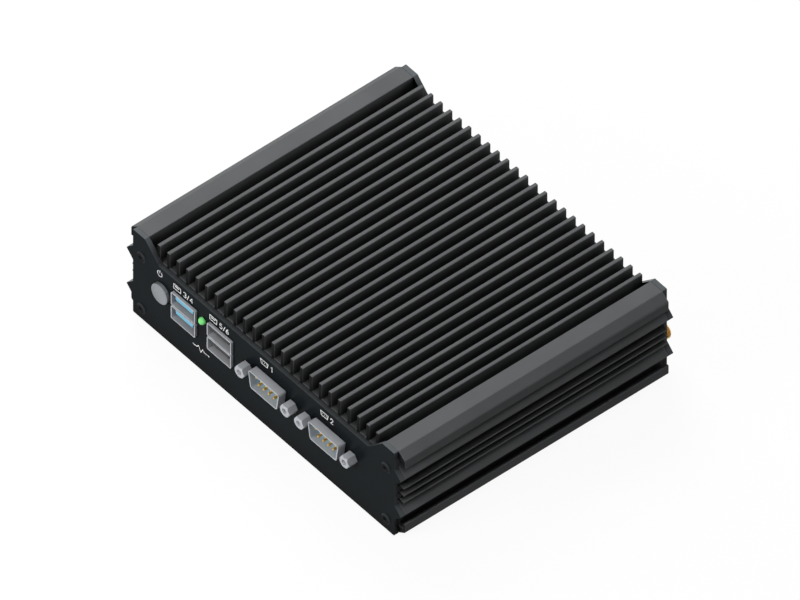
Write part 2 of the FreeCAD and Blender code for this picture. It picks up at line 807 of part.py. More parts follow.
def hook_corners(mirrored):
    """A hook at the top of the side wall, from the wall's top outwards and back to the wall."""
    outer = side + mm.hook_reach
    inner = outer - mm.hook_thickness
    shoulder = plate_top - mm.hook_slope
    corners = [
        (side, plate_top),
        (outer, shoulder),
        (outer, shoulder - mm.hook_lip),
        (inner, shoulder - mm.hook_lip),
        (inner, shoulder - mm.hook_crown),
        (side, shoulder - mm.hook_crown),
    ]
    if mirrored:
        return [(x, middle * 2 - z) for x, z in reversed(corners)]
    return corners


def rib_corners(z):
    """A thin side rib from above to below."""
    tip = side + mm.rib_reach
    return [
        (side, z + mm.rib_root / 2),
        (tip, z + mm.rib_tip / 2),
        (tip, z - mm.rib_tip / 2),
        (side, z - mm.rib_root / 2),
    ]


def housing_half():
    """Right half of the extrusion's section, without fins and screw channels."""
    block_edge = side - mm.shoulder_width
    corners = [(as_size(0), ceiling), (as_size(0), deck_top)]
    corners.extend([(block_edge, deck_top), (block_edge, plate_top)])
    corners.extend(hook_corners(mirrored=False))
    corners.extend(reversed(tooth_corners(teeth[1])))
    for step in (1, 0, -1):
        corners.extend(rib_corners(middle + mm.rib_pitch * step))
    corners.extend(reversed(tooth_corners(teeth[0])))
    lower_hook = hook_corners(mirrored=True)
    corners.extend(lower_hook[:-1])
    corners.append((side, housing_bottom))
    corners.append((cover_edge, housing_bottom))
    corners.append((cover_edge, cover_top))
    corners.append((inner_side - mm.ledge_width, cover_top))
    corners.append((inner_side - mm.ledge_width, ledge_top))
    corners.append((inner_side, ledge_top))
    corners.append((inner_side, ceiling))
    return corners


def make_housing():
    """The extrusion: half section, mirrored, then fins in a row, screw channels and tapped holes."""
    owner = body("heatsink_housing")
    half = sketch(owner, "XZ_Plane", "housing_section")
    outline(half, housing_half())
    pad(owner, half, mm.housing_length, "housing_pad")
    whole = owner.newObject("PartDesign::Mirrored", "housing_mirror")
    whole.Originals = [doc.getObject("housing_pad")]
    whole.MirrorPlane = (origin_feature(owner, "YZ_Plane"), [""])
    owner.Tip = whole
    doc.recompute()

    outer = side + mm.hook_reach
    crests = both_sides([(outer, plate_top - mm.hook_slope), (outer, plate_bottom + mm.hook_slope)])
    rounded = round_edges(owner, whole, crests, mm.hook_radius, "housing_crests")
    tips = both_sides([(side + mm.tooth_reach, z) for z in teeth])
    rounded = round_edges(owner, rounded, tips, mm.tip_radius, "housing_tips")

    make_fins(owner)
    make_channels(owner)
    make_tapped_holes(owner)
    piece("heatsink_housing", owner, forward=plate_back)


def make_fins(owner):
    """One fin with a rounded tip, then the whole row, spread evenly between the shoulders."""
    pitch = (side - mm.shoulder_width) * 2 / (mm.fin_count + 1)
    span = pitch * (mm.fin_count - 1)
    first_x = -span / 2
    half = mm.fin_thickness / 2
    tip = plate_top - mm.fin_shortfall
    radius = mm.fin_radius
    root = deck_top - mm.base_thickness / 2
    profile = sketch(owner, "XZ_Plane", "fin_section")
    rectangle_points = [
        (first_x - half, root), (first_x + half, root),
        (first_x + half, tip - radius), (first_x + half - radius, tip),
        (first_x - half + radius, tip), (first_x - half, tip - radius),
    ]
    points = [point_of(place) for place in rectangle_points]
    right = point_of((first_x + half - radius, tip - radius))
    left = point_of((first_x - half + radius, tip - radius))
    quarter = math.pi / 2
    circle_of = {centre: Part.Circle(place, V(0, 0, 1), radius.value)
                 for centre, place in (("right", right), ("left", left))}
    profile.addGeometry([
        Part.LineSegment(points[0], points[1]),
        Part.LineSegment(points[1], points[2]),
        Part.ArcOfCircle(circle_of["right"], 0, quarter),
        Part.LineSegment(points[3], points[4]),
        Part.ArcOfCircle(circle_of["left"], quarter, 2 * quarter),
        Part.LineSegment(points[5], points[0]),
    ])
    rules = []
    for here, there in zip(range(6), (1, 2, 3, 4, 5, 0)):
        rules.append((Sketcher.Constraint("Coincident", here, 2, there, 1), None))
    for number, place in zip((0, 1, 3, 5), (0, 1, 3, 5)):
        rules.extend(held(number, 1, rectangle_points[place]))
    rules.extend(held(1, 2, rectangle_points[2]))
    rules.extend(held(3, 2, rectangle_points[4]))
    for arc in (2, 4):
        rules.append((Sketcher.Constraint("Radius", arc, radius.value), radius))
    constrain(profile, rules)
    fin = pad(owner, profile, mm.housing_length, "fin_pad")
    row = owner.newObject("PartDesign::LinearPattern", "fin_row")
    row.Originals = [fin]
    row.Direction = (origin_feature(owner, "X_Axis"), [""])
    bind(row, "Length", span)
    bind(row, "Occurrences", mm.fin_count)
    owner.Tip = row
    doc.recompute()


def make_channels(owner):
    """Round screw channels in the four corners, slotted towards the inside."""
    walls = sketch(owner, "XZ_Plane", "channel_walls")
    bores = sketch(owner, "XZ_Plane", "channel_bores")
    reach = mm.tap_radius + mm.channel_wall
    for place in corner_places():
        circle(walls, place, reach)
        circle(bores, place, mm.tap_radius)
    pad(owner, walls, mm.housing_length, "channel_pad")
    pocket(owner, bores, "channel_pocket")
    slots = sketch(owner, "XZ_Plane", "channel_slots")
    for x, z in corner_places():
        inward = 1 if z is channel_heights[0] else -1
        rectangle(slots, (x, z + (reach + mm.tap_radius) / 2 * inward), mm.channel_slot, reach)
    pocket(owner, slots, "channel_slot_pocket")


def cover_screw_places():
    """Where the bottom cover's screws sit, in X and in Y from the extrusion's front."""
    x = inner_side - mm.cover_screw_inset
    steps = mm.cover_screw_rows - 1
    pitch = (mm.housing_length - mm.cover_screw_margin * 2) / steps
    rows = [mm.cover_screw_margin + pitch * step for step in range(int(mm.cover_screw_rows.value))]
    return [(sign * x, y) for sign in (-1, 1) for y in rows]


def block_screw_places():
    """Where the heat spreader block's screws sit, in X and in Y from the extrusion's front."""
    dx = mm.block_width / 2 - mm.block_screw_inset
    dy = mm.block_depth / 2 - mm.block_screw_inset
    centre_y = chip_centre_y - plate_back
    return [(mm.chip_centre_x + i * dx, centre_y + j * dy) for i in (-1, 1) for j in (-1, 1)]


def make_tapped_holes(owner):
    """Tapped holes in the ledges for the cover's screws, and in the deck for the spreader's."""
    ledges = sketch(owner, "XY_Plane", "ledge_holes", offset=cover_top)
    for place in cover_screw_places():
        circle(ledges, place, mm.tap_radius)
    pocket(owner, ledges, "ledge_pocket", depth=mm.ledge_thickness, upward=True)
    deck = sketch(owner, "XY_Plane", "deck_holes", offset=ceiling)
    for place in block_screw_places():
        circle(deck, place, mm.tap_radius)
    pocket(owner, deck, "deck_pocket", depth=mm.block_screw_grip, upward=True)


# ---------------------------------------------------------------- bottom cover, feet, bracket nuts

def bracket_places():
    half = mm.bracket_pitch / 2
    centre_y = case_depth / 2
    return [(i * half, centre_y + j * half) for i in (-1, 1) for j in (-1, 1)]


def foot_places():
    x = side - mm.foot_inset_x
    near = plate_back + mm.foot_inset_y
    far = housing_end - mm.foot_inset_y
    return [(i * x, y) for i in (-1, 1) for y in (near, far)]


def make_cover():
    """A sheet with countersunk screw holes, press nut holes and board standoff holes."""
    edge = cover_edge - mm.cover_gap
    sheet_metal = box("cover_sheet", (-edge, plate_back + mm.cover_gap, housing_bottom),
                      (edge, housing_end - mm.cover_gap, cover_top))
    tools = []
    for number, (x, y) in enumerate(cover_screw_places()):
        start = (x, y + plate_back, housing_bottom)
        radius = mm.tap_radius + mm.hole_clearance
        tools.append(rod(f"cover_hole_{number}", UPWARD, start, radius, mm.cover_thickness))
        sink = (mm.countersink_radius + mm.fit, mm.tap_radius + mm.fit)
        tools.append(cone(f"cover_sink_{number}", UPWARD, start, sink, mm.countersink_depth))
    for number, (x, y) in enumerate(bracket_places()):
        start = (x, y, housing_bottom)
        tools.append(rod(f"cover_nut_hole_{number}", UPWARD, start, mm.nut_shank,
                         mm.cover_thickness))
    for number, (x, y) in enumerate(board_screw_places()):
        start = (x, y, housing_bottom)
        tools.append(rod(f"cover_standoff_hole_{number}", UPWARD, start, mm.screw_radius,
                         mm.cover_thickness))
    piece("bottom_cover", cut("bottom_cover", sheet_metal, tools))


def make_cover_fasteners():
    """Countersunk cover screws, press nuts for a bracket, and the rubber feet."""
    screws = []
    for number, (x, y) in enumerate(cover_screw_places()):
        name = f"cover_screw_{number}"
        start = (x, y + plate_back, housing_bottom)
        radii = (mm.countersink_radius, mm.tap_radius)
        head = cone(f"{name}_head", UPWARD, start, radii, mm.countersink_depth)
        shank = rod(f"{name}_shank", UPWARD, start, mm.tap_radius, mm.cover_screw_length)
        drive = hexagon(f"{name}_drive", UPWARD, start, mm.socket_radius * 2, mm.socket_depth)
        screws.append(cut(name, fuse(f"{name}_blank", [head, shank]), [drive]))
    piece("bottom_cover_screws", group("bottom_cover_screws", screws))

    nuts = []
    for number, (x, y) in enumerate(bracket_places()):
        name = f"press_nut_{number}"
        start = (x, y, housing_bottom)
        shank = rod(f"{name}_shank", UPWARD, start, mm.nut_shank, mm.cover_thickness)
        collar = rod(f"{name}_collar", UPWARD, (x, y, cover_top), mm.nut_radius, mm.nut_height)
        bore = rod(f"{name}_bore", UPWARD, start, mm.bracket_radius, mm.cover_thickness + mm.nut_height)
        nuts.append(cut(name, fuse(f"{name}_blank", [shank, collar]), [bore]))
    piece("bracket_press_nuts", group("bracket_press_nuts", nuts))

    feet = []
    for number, (x, y) in enumerate(foot_places()):
        radii = (mm.foot_radius - mm.foot_taper, mm.foot_radius)
        feet.append(cone(f"foot_{number}", UPWARD, (x, y, as_size(0)), radii, mm.foot_height))
    piece("rubber_feet", group("rubber_feet", feet))


# ---------------------------------------------------------------- board and cooling path

def board_screw_places():
    """Where the board's standoffs sit, in X and in Y behind the front face."""
    x = inner_side - mm.ledge_width - mm.standoff_gap
    near = board_front + mm.standoff_inset
    far = board_back - mm.standoff_inset
    return [(i * x, y) for i in (-1, 1) for y in (near, far)]


def make_board():
    """The circuit board on its four standoffs, held by four screws."""
    blank = box("board_blank", (-board_half, board_front, board_bottom),
                (board_half, board_back, board_top))
    tools = []
    for number, sign in enumerate((-1, 1)):
        outer, inner = sign * board_half, sign * (board_half - mm.board_notch)
        low, high = (outer, inner) if sign < 0 else (inner, outer)
        tools.append(box(f"board_notch_{number}", (low, board_back - mm.board_notch, board_bottom),
                         (high, board_back, board_top)))
    standoffs, screws = [], []
    bore = mm.screw_radius + mm.hole_clearance
    for number, (x, y) in enumerate(board_screw_places()):
        tools.append(rod(f"board_hole_{number}", UPWARD, (x, y, board_bottom), bore, mm.board_thickness))
        name = f"standoff_{number}"
        column = hexagon(f"{name}_column", UPWARD, (x, y, cover_top), mm.standoff_flats,
                         mm.standoff_height)
        rivet = rod(f"{name}_rivet", UPWARD, (x, y, housing_bottom), mm.screw_radius, mm.cover_thickness)
        thread = rod(f"{name}_thread", DOWNWARD, (x, y, board_bottom), mm.tap_radius,
                     mm.standoff_bore)
        standoffs.append(cut(name, fuse(f"{name}_blank", [column, rivet]), [thread]))
        name = f"board_screw_{number}"
        head = rod(f"{name}_head", UPWARD, (x, y, board_top), mm.head_radius, mm.pan_height)
        shank = rod(f"{name}_shank", DOWNWARD, (x, y, board_top), mm.tap_radius,
                    mm.board_thickness + mm.board_screw_grip)
        screws.append(fuse(name, [head, shank]))
    piece("motherboard", cut("motherboard", blank, tools))
    piece("board_standoffs", group("board_standoffs", standoffs))
    piece("board_screws", group("board_screws", screws))


def make_cooling():
    """The processor, its pad, and the block that carries its heat up into the deck."""
    x, y = mm.chip_centre_x, chip_centre_y
    chip_top = board_top + mm.chip_height
    pad_top = chip_top + mm.pad_thickness
    foot_top = pad_top + mm.block_foot
    half = mm.chip_width / 2
    die = mm.die_width / 2
    base = block("chip_base", x, mm.chip_width, (y - half, y + half),
                 (board_top, board_top + mm.substrate_height))
    lid = block("chip_lid", x, mm.die_width, (y - die, y + die), (board_top, chip_top))
    piece("processor", fuse("processor", [base, lid]))
    pad_block = block("pad_block", x, mm.die_width, (y - die, y + die), (chip_top, pad_top))
    piece("thermal_pad", group("thermal_pad", [pad_block]))
    foot = block("block_foot", x, mm.chip_width, (y - half, y + half), (pad_top, foot_top))
    depth = mm.block_depth / 2
    upper = block("block_upper", x, mm.block_width, (y - depth, y + depth), (foot_top, ceiling))
    holes, screws = [], []
    for number, (hole_x, hole_y) in enumerate(block_screw_places()):
        start = (hole_x, hole_y + plate_back, foot_top)
        bore = mm.screw_radius + mm.hole_clearance
        holes.append(rod(f"block_hole_{number}", UPWARD, start, bore, ceiling - foot_top))
        name = f"spreader_screw_{number}"
        head = rod(f"{name}_head", DOWNWARD, start, mm.head_radius, mm.pan_height)
        shank = rod(f"{name}_shank", UPWARD, start, mm.tap_radius,
                    ceiling - foot_top + mm.block_screw_grip - mm.hole_clearance)
        screws.append(fuse(name, [head, shank]))
    piece("heat_spreader_block", cut("heat_spreader_block", fuse("block_blank", [foot, upper]), holes))
    piece("spreader_screws", group("spreader_screws", screws))


# ---------------------------------------------------------------- power button and status light

def make_button():
    """The button cap slides in the plate and pushes the plunger of a switch on the board."""
    x, z = button_x, board_top + mm.button_lift
    face_y = -mm.button_reach
    tip = cone("button_tip", FORWARD, (x, face_y, z),
               (mm.button_radius - mm.button_chamfer, mm.button_radius), mm.button_chamfer)
    barrel = rod("button_barrel", FORWARD, (x, face_y + mm.button_chamfer, z), mm.button_radius,
                 mm.button_reach - mm.button_chamfer + plate_back)
    collar = rod("button_collar", FORWARD, (x, plate_back, z), collar_radius, mm.collar_thickness)
    piece("power_button_cap", fuse("power_button_cap", [tip, barrel, collar]))

    cap_back = plate_back + mm.collar_thickness
    switch_front = cap_back + mm.switch_gap
    plunger = rod("plunger_bar", FORWARD, (x, cap_back, z), mm.plunger_radius,
                  mm.switch_gap + mm.plunger_grip)
    piece("power_switch_plunger", group("power_switch_plunger", [plunger]))

    half = mm.switch_width / 2
    case = box("switch_case", (x - half, switch_front, board_top),
               (x + half, switch_front + mm.switch_depth, z + half))
    bore_depth = mm.plunger_grip + mm.button_travel + mm.hole_clearance
    bore = rod("switch_bore", FORWARD, (x, switch_front, z), mm.plunger_radius + mm.plunger_fit,
               bore_depth)
    piece("power_switch_body", cut("power_switch_body", case, [bore]))


def make_status_light():
    """A round light with a domed tip, in a holder that stands on the board."""
    x, z = led_x, board_top + mm.led_lift
    dome_y = mm.led_radius - mm.led_reach
    dome = add("Part::Sphere", "led_dome")
    bind(dome, "Radius", mm.led_radius)
    move(dome, (x, dome_y, z))
    barrel = rod("led_barrel", FORWARD, (x, dome_y, z), mm.led_radius,
                 mm.led_length - mm.led_radius)
    rim_y = dome_y + mm.led_length - mm.led_radius
    rim = rod("led_rim", FORWARD, (x, rim_y, z), mm.led_radius + mm.led_rim, mm.led_rim_thickness)
    piece("status_led", fuse("status_led", [dome, barrel, rim]))
    half = mm.holder_width / 2
    holder_front = plate_back + mm.board_margin
    case = box("holder_case", (x - half, holder_front, board_top),
               (x + half, holder_front + mm.holder_depth, z + half))
    bore = rod("holder_bore", FORWARD, (x, holder_front, z), mm.led_radius + mm.fit,
               mm.holder_depth)
    seat = rod("holder_seat", FORWARD, (x, rim_y, z), mm.led_radius + mm.led_rim + mm.fit,
               mm.holder_depth)
    piece("led_holder", cut("led_holder", case, [bore, seat]))


# ---------------------------------------------------------------- double type A sockets

def usb_socket(label, x, mouth_y, inward):
    """Two sockets one above the other. inward is 1 if they open at the front and -1 at the back."""
    def ranged(start, end):
        """A range along Y from two depths behind the mouth."""
        first, last = mouth_y + start * inward, mouth_y + end * inward
        return (first, last) if inward > 0 else (last, first)

    zero = as_size(0)
    wall = mm.usb_wall
    contact_start = mm.tongue_set_back + mm.contact_set_back
    shells, cavities, tongues, contacts = [], [], [], []
    for level in range(2):
        low = usb_low + (mm.usb_port_height + mm.usb_port_gap) * level
        high = low + mm.usb_port_height
        name = f"{label}_{level}"
        shells.append(rounded_bar(f"{name}_shell", x, mm.usb_width, ranged(zero, mm.usb_depth),
                                  (low, high), mm.usb_corner))
        cavities.append(rounded_bar(f"{name}_cavity", x, mm.usb_width - wall * 2,
                                    ranged(zero, mm.usb_depth - wall),
                                    (low + wall, high - wall), mm.usb_corner - wall))
        tongue_top = high - wall - mm.tongue_gap
        tongue_low = tongue_top - mm.tongue_thickness
        tongues.append(block(f"{name}_tongue", x, mm.tongue_width,
                             ranged(mm.tongue_set_back, mm.usb_mouth), (tongue_low, tongue_top)))
        tongues.append(block(f"{name}_core", x, mm.usb_width - wall * 2 - mm.fit * 4,
                             ranged(mm.usb_mouth, mm.usb_depth - wall - mm.fit),
                             (low + wall + mm.fit * 2, high - wall - mm.fit * 2)))
        for index in range(4):
            contact_x = x + mm.contact_pitch * (index - 1.5)
            contacts.append(block(f"{name}_contact_{index}", contact_x, mm.contact_width,
                                  ranged(contact_start, contact_start + mm.contact_length),
                                  (tongue_low - mm.contact_thickness, tongue_low)))
    bridge = block(f"{label}_bridge", x, mm.usb_width, ranged(mm.usb_mouth, mm.usb_depth),
                   (usb_low, usb_low + usb_height))
    cans = fuse(f"{label}_cans", shells + [bridge])
    piece(f"{label}_shell", cut(f"{label}_shell", cans, cavities))
    base = block(f"{label}_base", x, mm.usb_width - wall * 2, ranged(mm.board_margin + plate_back +
                 mm.usb_reach, mm.usb_depth), (board_top, usb_low))
    tongues_node = group(f"{label}_insulator", [
        fuse(f"{label}_insulator_{level}", tongues[level * 2:level * 2 + 2]) for level in range(2)
    ] + [base])
    piece(f"{label}_insulator", tongues_node)
    piece(f"{label}_contacts", group(f"{label}_contacts", contacts))


def make_usb_sockets():
    usb_socket("usb_left", usb_left_x, -mm.usb_reach, 1)
    usb_socket("usb_right", usb_right_x, -mm.usb_reach, 1)
    usb_socket("usb_rear", usb_rear_x, rear_face + mm.usb_reach, -1)


# ---------------------------------------------------------------- serial connectors

def d_bar(name, x, inset, y_range):
    """A bar with the D section of a serial connector, inset all round."""
    owner = body(name)
    profile = sketch(owner, "XZ_Plane", f"{name}_profile", offset=-y_range[0])
    corners = d_corners(x, inset)
    outline(profile, corners)
    bar = pad(owner, profile, y_range[1] - y_range[0], f"{name}_pad")
    round_edges(owner, bar, corners, mm.serial_corner - inset, f"{name}_round")
    return owner


def serial_pin_places(x):
    """Nine pins: five in the upper row and four in the lower."""
    rows = ((5, mm.pin_rows / 2), (4, -mm.pin_rows / 2))
    return [(x + mm.pin_pitch * (index - (count - 1) / 2), serial_z + rise)
            for count, rise in rows for index in range(count)]


def serial_connector(label, x):
    """A male D connector: shroud and flange, insulating body, and nine pins."""
    rim = -mm.serial_reach
    wall = mm.serial_wall
    flange_end = plate_back + mm.flange_thickness
    flange_rise = mm.serial_rise / 2 + mm.flange_rim
    flange_z = (serial_z - flange_rise, serial_z + flange_rise)
    shroud = d_bar(f"{label}_shroud", x, as_size(0), (rim, flange_end))
    flange = block(f"{label}_flange", x, flange_half * 2, (plate_back, flange_end), flange_z)
    hollow = d_bar(f"{label}_hollow", x, wall, (rim, flange_end))
    holes = [rod(f"{label}_flange_hole_{index}", FORWARD, (x + offset, plate_back, serial_z),
                 mm.jack_stud + mm.hole_clearance, mm.flange_thickness)
             for index, offset in enumerate((-jack_offset, jack_offset))]
    blank = fuse(f"{label}_blank", [shroud, flange])
    piece(f"{label}_shell", cut(f"{label}_shell", blank, [hollow] + holes))

    core = d_bar(f"{label}_core", x, wall + mm.fit, (mm.serial_core, flange_end))
    back_end = flange_end + mm.serial_block_depth
    back = block(f"{label}_back", x, flange_half * 2, (flange_end, back_end),
                 (board_top, flange_z[1]))
    pins, sockets = [], []
    for index, (pin_x, pin_z) in enumerate(serial_pin_places(x)):
        start = rim + mm.pin_set_back
        tail = back_end - mm.flange_thickness
        pins.append(rod(f"{label}_pin_{index}", FORWARD, (pin_x, start, pin_z), mm.pin_radius,
                        tail - start))
        sockets.append(rod(f"{label}_pin_hole_{index}", FORWARD, (pin_x, mm.serial_core, pin_z),
                           mm.pin_radius, tail - mm.serial_core))
    for index, offset in enumerate((-jack_offset, jack_offset)):
        sockets.append(rod(f"{label}_stud_hole_{index}", FORWARD, (x + offset, flange_end, serial_z),
                           mm.jack_stud, mm.jack_stud_length))
    insulator = cut(f"{label}_insulator", fuse(f"{label}_insulator_blank", [core, back]), sockets)
    piece(f"{label}_insulator", insulator)
    piece(f"{label}_pins", group(f"{label}_pins", pins))


def make_jackscrews():
    """Hexagonal jackscrews that hold the serial connectors to the plate, threaded at the front."""
    screws = []
    for x in serial_centres:
        for offset in (-jack_offset, jack_offset):
            name = f"jackscrew_{len(screws)}"
            face = (x + offset, -mm.jack_reach, serial_z)
            across = mm.jack_flats / (2 * math.cos(math.radians(30)))
            bar = hexagon(f"{name}_bar", FORWARD, face, mm.jack_flats, mm.jack_reach)
            nose = cone(f"{name}_nose", FORWARD, face, (across - mm.jack_chamfer, across + mm.jack_reach),
                        mm.jack_reach + mm.jack_chamfer)
            stud = rod(f"{name}_stud", FORWARD, (x + offset, as_size(0), serial_z), mm.jack_stud,
                       mm.jack_stud_length)
            bore = rod(f"{name}_bore", FORWARD, face, mm.jack_bore, mm.jack_bore_depth)
            head = common(f"{name}_head", bar, nose)
            screws.append(cut(name, fuse(f"{name}_blank", [head, stud]), [bore]))
    piece("serial_jackscrews", group("serial_jackscrews", screws))


def make_serial_connectors():
    for label, x in zip(("serial_left", "serial_right"), serial_centres):
        serial_connector(label, x)
    make_jackscrews()


# ---------------------------------------------------------------- rear connectors

def lan_socket(label, x):
    """A network socket: a metal shell round a plastic housing with its mouth and latch slot."""
    mouth_y = rear_face + mm.lan_reach
    wall = mm.lan_wall
    back_y = mouth_y - mm.lan_depth
    shell = block(f"{label}_can", x, mm.lan_width, (back_y, mouth_y),
                  (board_top, board_top + mm.lan_height))
    inside = block(f"{label}_inside", x, mm.lan_width - wall * 2, (back_y + wall, mouth_y),
                   (board_top + wall, board_top + mm.lan_height - wall))
    piece(f"{label}_shell", cut(f"{label}_shell", shell, [inside]))
    gap = wall + mm.fit
    filling = block(f"{label}_filling", x, mm.lan_width - gap * 2, (back_y + gap, mouth_y - wall),
                    (board_top + gap, board_top + mm.lan_height - gap))
    roof = board_top + mm.lan_height - mm.lan_roof
    floor = roof - mm.lan_mouth_height
    mouth = block(f"{label}_mouth", x, mm.lan_mouth_width, (mouth_y - mm.lan_mouth_depth, mouth_y),
                  (floor, roof))
    latch = block(f"{label}_latch", x, mm.latch_width, (mouth_y - mm.lan_mouth_depth, mouth_y),
                  (floor - mm.latch_height, floor))
    piece(f"{label}_housing", cut(f"{label}_housing", filling, [mouth, latch]))
    inner_end = mouth_y - mm.lan_mouth_depth
    contacts = []
    for index in range(8):
        contact_x = x + mm.lan_contact_pitch * (index - 3.5)
        contacts.append(block(f"{label}_contact_{index}", contact_x, mm.lan_contact_width,
                              (inner_end, inner_end + mm.lan_contact_length),
                              (roof - mm.lan_contact_drop, roof)))
    return contacts


def make_video_socket():
    """A video socket: a shell with cut lower corners round a blade."""
    mouth_y = rear_face + mm.video_reach
    back_y = mouth_y - mm.video_depth
    wall = mm.video_wall

    def bar(name, inset, y_range):
        owner = body(name)
        profile = sketch(owner, "XZ_Plane", f"{name}_profile", offset=-y_range[0])
        outline(profile, video_corners(mm.video_width - inset * 2, mm.video_narrow - inset * 2,
                                       mm.video_height - inset * 2, mm.video_side - inset))
        pad(owner, profile, y_range[1] - y_range[0], f"{name}_pad")
        return owner

    outer = bar("video_outer", as_size(0), (back_y, mouth_y))
    inner = bar("video_inner", wall, (back_y + wall, mouth_y))
    piece("video_port_shell", cut("video_port_shell", outer, [inner]))
    core = bar("video_core", wall + mm.fit, (back_y + wall + mm.fit, mouth_y - mm.video_mouth))
    middle_z = board_top + mm.video_base + mm.video_height / 2 + mm.blade_thickness / 2
    blade = block("video_blade", video_x, mm.blade_width,
                  (mouth_y - mm.video_mouth, mouth_y - mm.video_reach),
                  (middle_z - mm.blade_thickness / 2, middle_z + mm.blade_thickness / 2))
    base = block("video_base", video_x, mm.video_narrow, (back_y, board_back),
                 (board_top, board_top + mm.video_base))
    piece("video_port_insulator", group("video_port_insulator", [
        fuse("video_tongue", [core, blade]), base]))


def make_power_inlet():
    """A power inlet: a body with a round nose in the plate and a centre pin in its bore."""
    x, z = inlet_x, board_top + mm.inlet_axis
    mouth_y = rear_face + mm.inlet_reach
    body_end = housing_end - mm.inlet_gap
    case = block("inlet_case", x, mm.inlet_width, (body_end - mm.inlet_depth, body_end),
                 (board_top, board_top + mm.inlet_height))
    nose = rod("inlet_nose", BACKWARD, (x, mouth_y, z), mm.inlet_nose, mouth_y - body_end)
    bore = rod("inlet_bore", BACKWARD, (x, mouth_y, z), mm.inlet_bore, mm.inlet_mouth)
    piece("power_inlet_body", cut("power_inlet_body", fuse("inlet_blank", [case, nose]), [bore]))
    start = mouth_y - mm.inlet_pin_set_back
    pin = rod("inlet_pin_bar", BACKWARD, (x, start, z), mm.inlet_pin,
              mm.inlet_mouth - mm.inlet_pin_set_back)
    piece("power_inlet_pin", group("power_inlet_pin", [pin]))


def make_antenna_jacks():
    """Threaded antenna jacks through the rear plate, each with a flange inside and a nut outside."""
    nuts = []
    for label, (x, z) in zip(("antenna_jack_left", "antenna_jack_right"), antenna_places()):
        tip = (x, rear_face + mm.antenna_reach, z)
        inside = (x, housing_end, z)
        barrel = rod(f"{label}_barrel", BACKWARD, tip, mm.antenna_radius,
                     mm.antenna_reach - mm.antenna_nut_height)
        shank = rod(f"{label}_shank", FORWARD, inside, mm.antenna_shank,
                    mm.plate_thickness + mm.antenna_nut_height)
        flange = hexagon(f"{label}_flange", BACKWARD, inside, mm.antenna_flange_flats,
                         mm.antenna_flange, spin=30)
        tail = rod(f"{label}_tail", BACKWARD, inside, mm.antenna_tail_radius,
                   mm.antenna_flange + mm.antenna_tail)
        bore = rod(f"{label}_bore", BACKWARD, tip, mm.antenna_bore, mm.antenna_core)
        contact = rod(f"{label}_contact", BACKWARD, tip, mm.antenna_contact, mm.antenna_contact_depth)
        blank = fuse(f"{label}_blank", [barrel, shank, flange, tail])
        piece(label, cut(label, blank, [bore, contact]))
        name = f"{label}_nut"
        ring = hexagon(f"{name}_ring", FORWARD, (x, rear_face, z), mm.antenna_nut_flats,
                       mm.antenna_nut_height, spin=30)
        hole = rod(f"{name}_hole", FORWARD, (x, rear_face, z), mm.antenna_shank,
                   mm.antenna_nut_height)
        nuts.append(cut(name, ring, [hole]))
    piece("antenna_nuts", group("antenna_nuts", nuts))


def make_rear_connectors():
    contacts = lan_socket("lan_left", lan_places[0]) + lan_socket("lan_right", lan_places[1])
    piece("lan_contacts", group("lan_contacts", contacts))
    make_video_socket()
    make_power_inlet()
    make_antenna_jacks()


# ---------------------------------------------------------------- plug-in cards and coin cell

def make_memory():
    """A memory module lying flat in its socket."""
    x = -mm.memory_offset
    low = board_top + mm.memory_rise
    high = low + mm.card_thickness
    case = block("memory_socket_case", x, mm.memory_width + mm.memory_latch * 2,
                 (memory_seat, memory_back), (board_top, board_top + mm.socket_height))
    slot = block("memory_socket_slot", x, mm.memory_width + mm.fit * 2,
                 (memory_seat, memory_seat + mm.card_grip), (low - mm.fit, high + mm.fit))
    piece("memory_socket", cut("memory_socket", case, [slot]))
    card = block("memory_card", x, mm.memory_width, (memory_front, memory_front + mm.memory_depth),
                 (low, high))
    centre = memory_front + mm.memory_depth / 2
    chips = []
    for index in range(4):
        chip_x = x + mm.memory_chip_pitch * (index - 1.5)
        chips.append(block(f"memory_chip_{index}", chip_x, mm.card_chip,
                           (centre - mm.card_chip / 2, centre + mm.card_chip / 2),
                           (high, high + mm.card_chip_height)))
    piece("memory_module", fuse("memory_module", [card] + chips))


def plug_in_card(label, x, length):
    """A short card, flat in an edge socket at its front and screwed to a post at its back."""
    front = memory_back + mm.card_gap
    socket_end = front + mm.card_socket_depth
    low = board_top + mm.card_rise
    high = low + mm.card_thickness
    case = block(f"{label}_socket_case", x, card_socket_width, (front, socket_end),
                 (board_top, board_top + mm.card_socket_height))
    slot = block(f"{label}_socket_slot", x, mm.card_width + mm.fit * 2,
                 (socket_end - mm.card_grip, socket_end), (low - mm.fit, high + mm.fit))
    piece(f"{label}_socket", cut(f"{label}_socket", case, [slot]))
    start = socket_end - mm.card_grip + mm.fit
    card = block(f"{label}_card", x, mm.card_width, (start, start + length), (low, high))
    centre = start + length / 2
    half = mm.card_chip / 2
    chip = block(f"{label}_chip", x, mm.card_chip, (centre - half, centre + half),
                 (high, high + mm.card_chip_height))
    end = (x, start + length, low)
    notch = rod(f"{label}_notch", UPWARD, end, mm.card_screw_radius + mm.hole_clearance,
                mm.card_thickness)
    piece(f"{label}_module", cut(f"{label}_module", fuse(f"{label}_blank", [card, chip]), [notch]))
    post = rod(f"{label}_post_bar", UPWARD, (x, start + length, board_top), mm.card_post_radius,
               mm.card_rise)
    hole = rod(f"{label}_post_hole", UPWARD, (x, start + length, board_top), mm.card_screw_radius,
               mm.card_rise)
    head = rod(f"{label}_screw_head", UPWARD, (x, start + length, high), mm.card_screw_head,
               mm.card_screw_height)
    shank = rod(f"{label}_screw_shank", DOWNWARD, (x, start + length, high), mm.card_screw_radius,
                mm.card_rise)
    return cut(f"{label}_post", post, [hole]), fuse(f"{label}_screw", [head, shank])


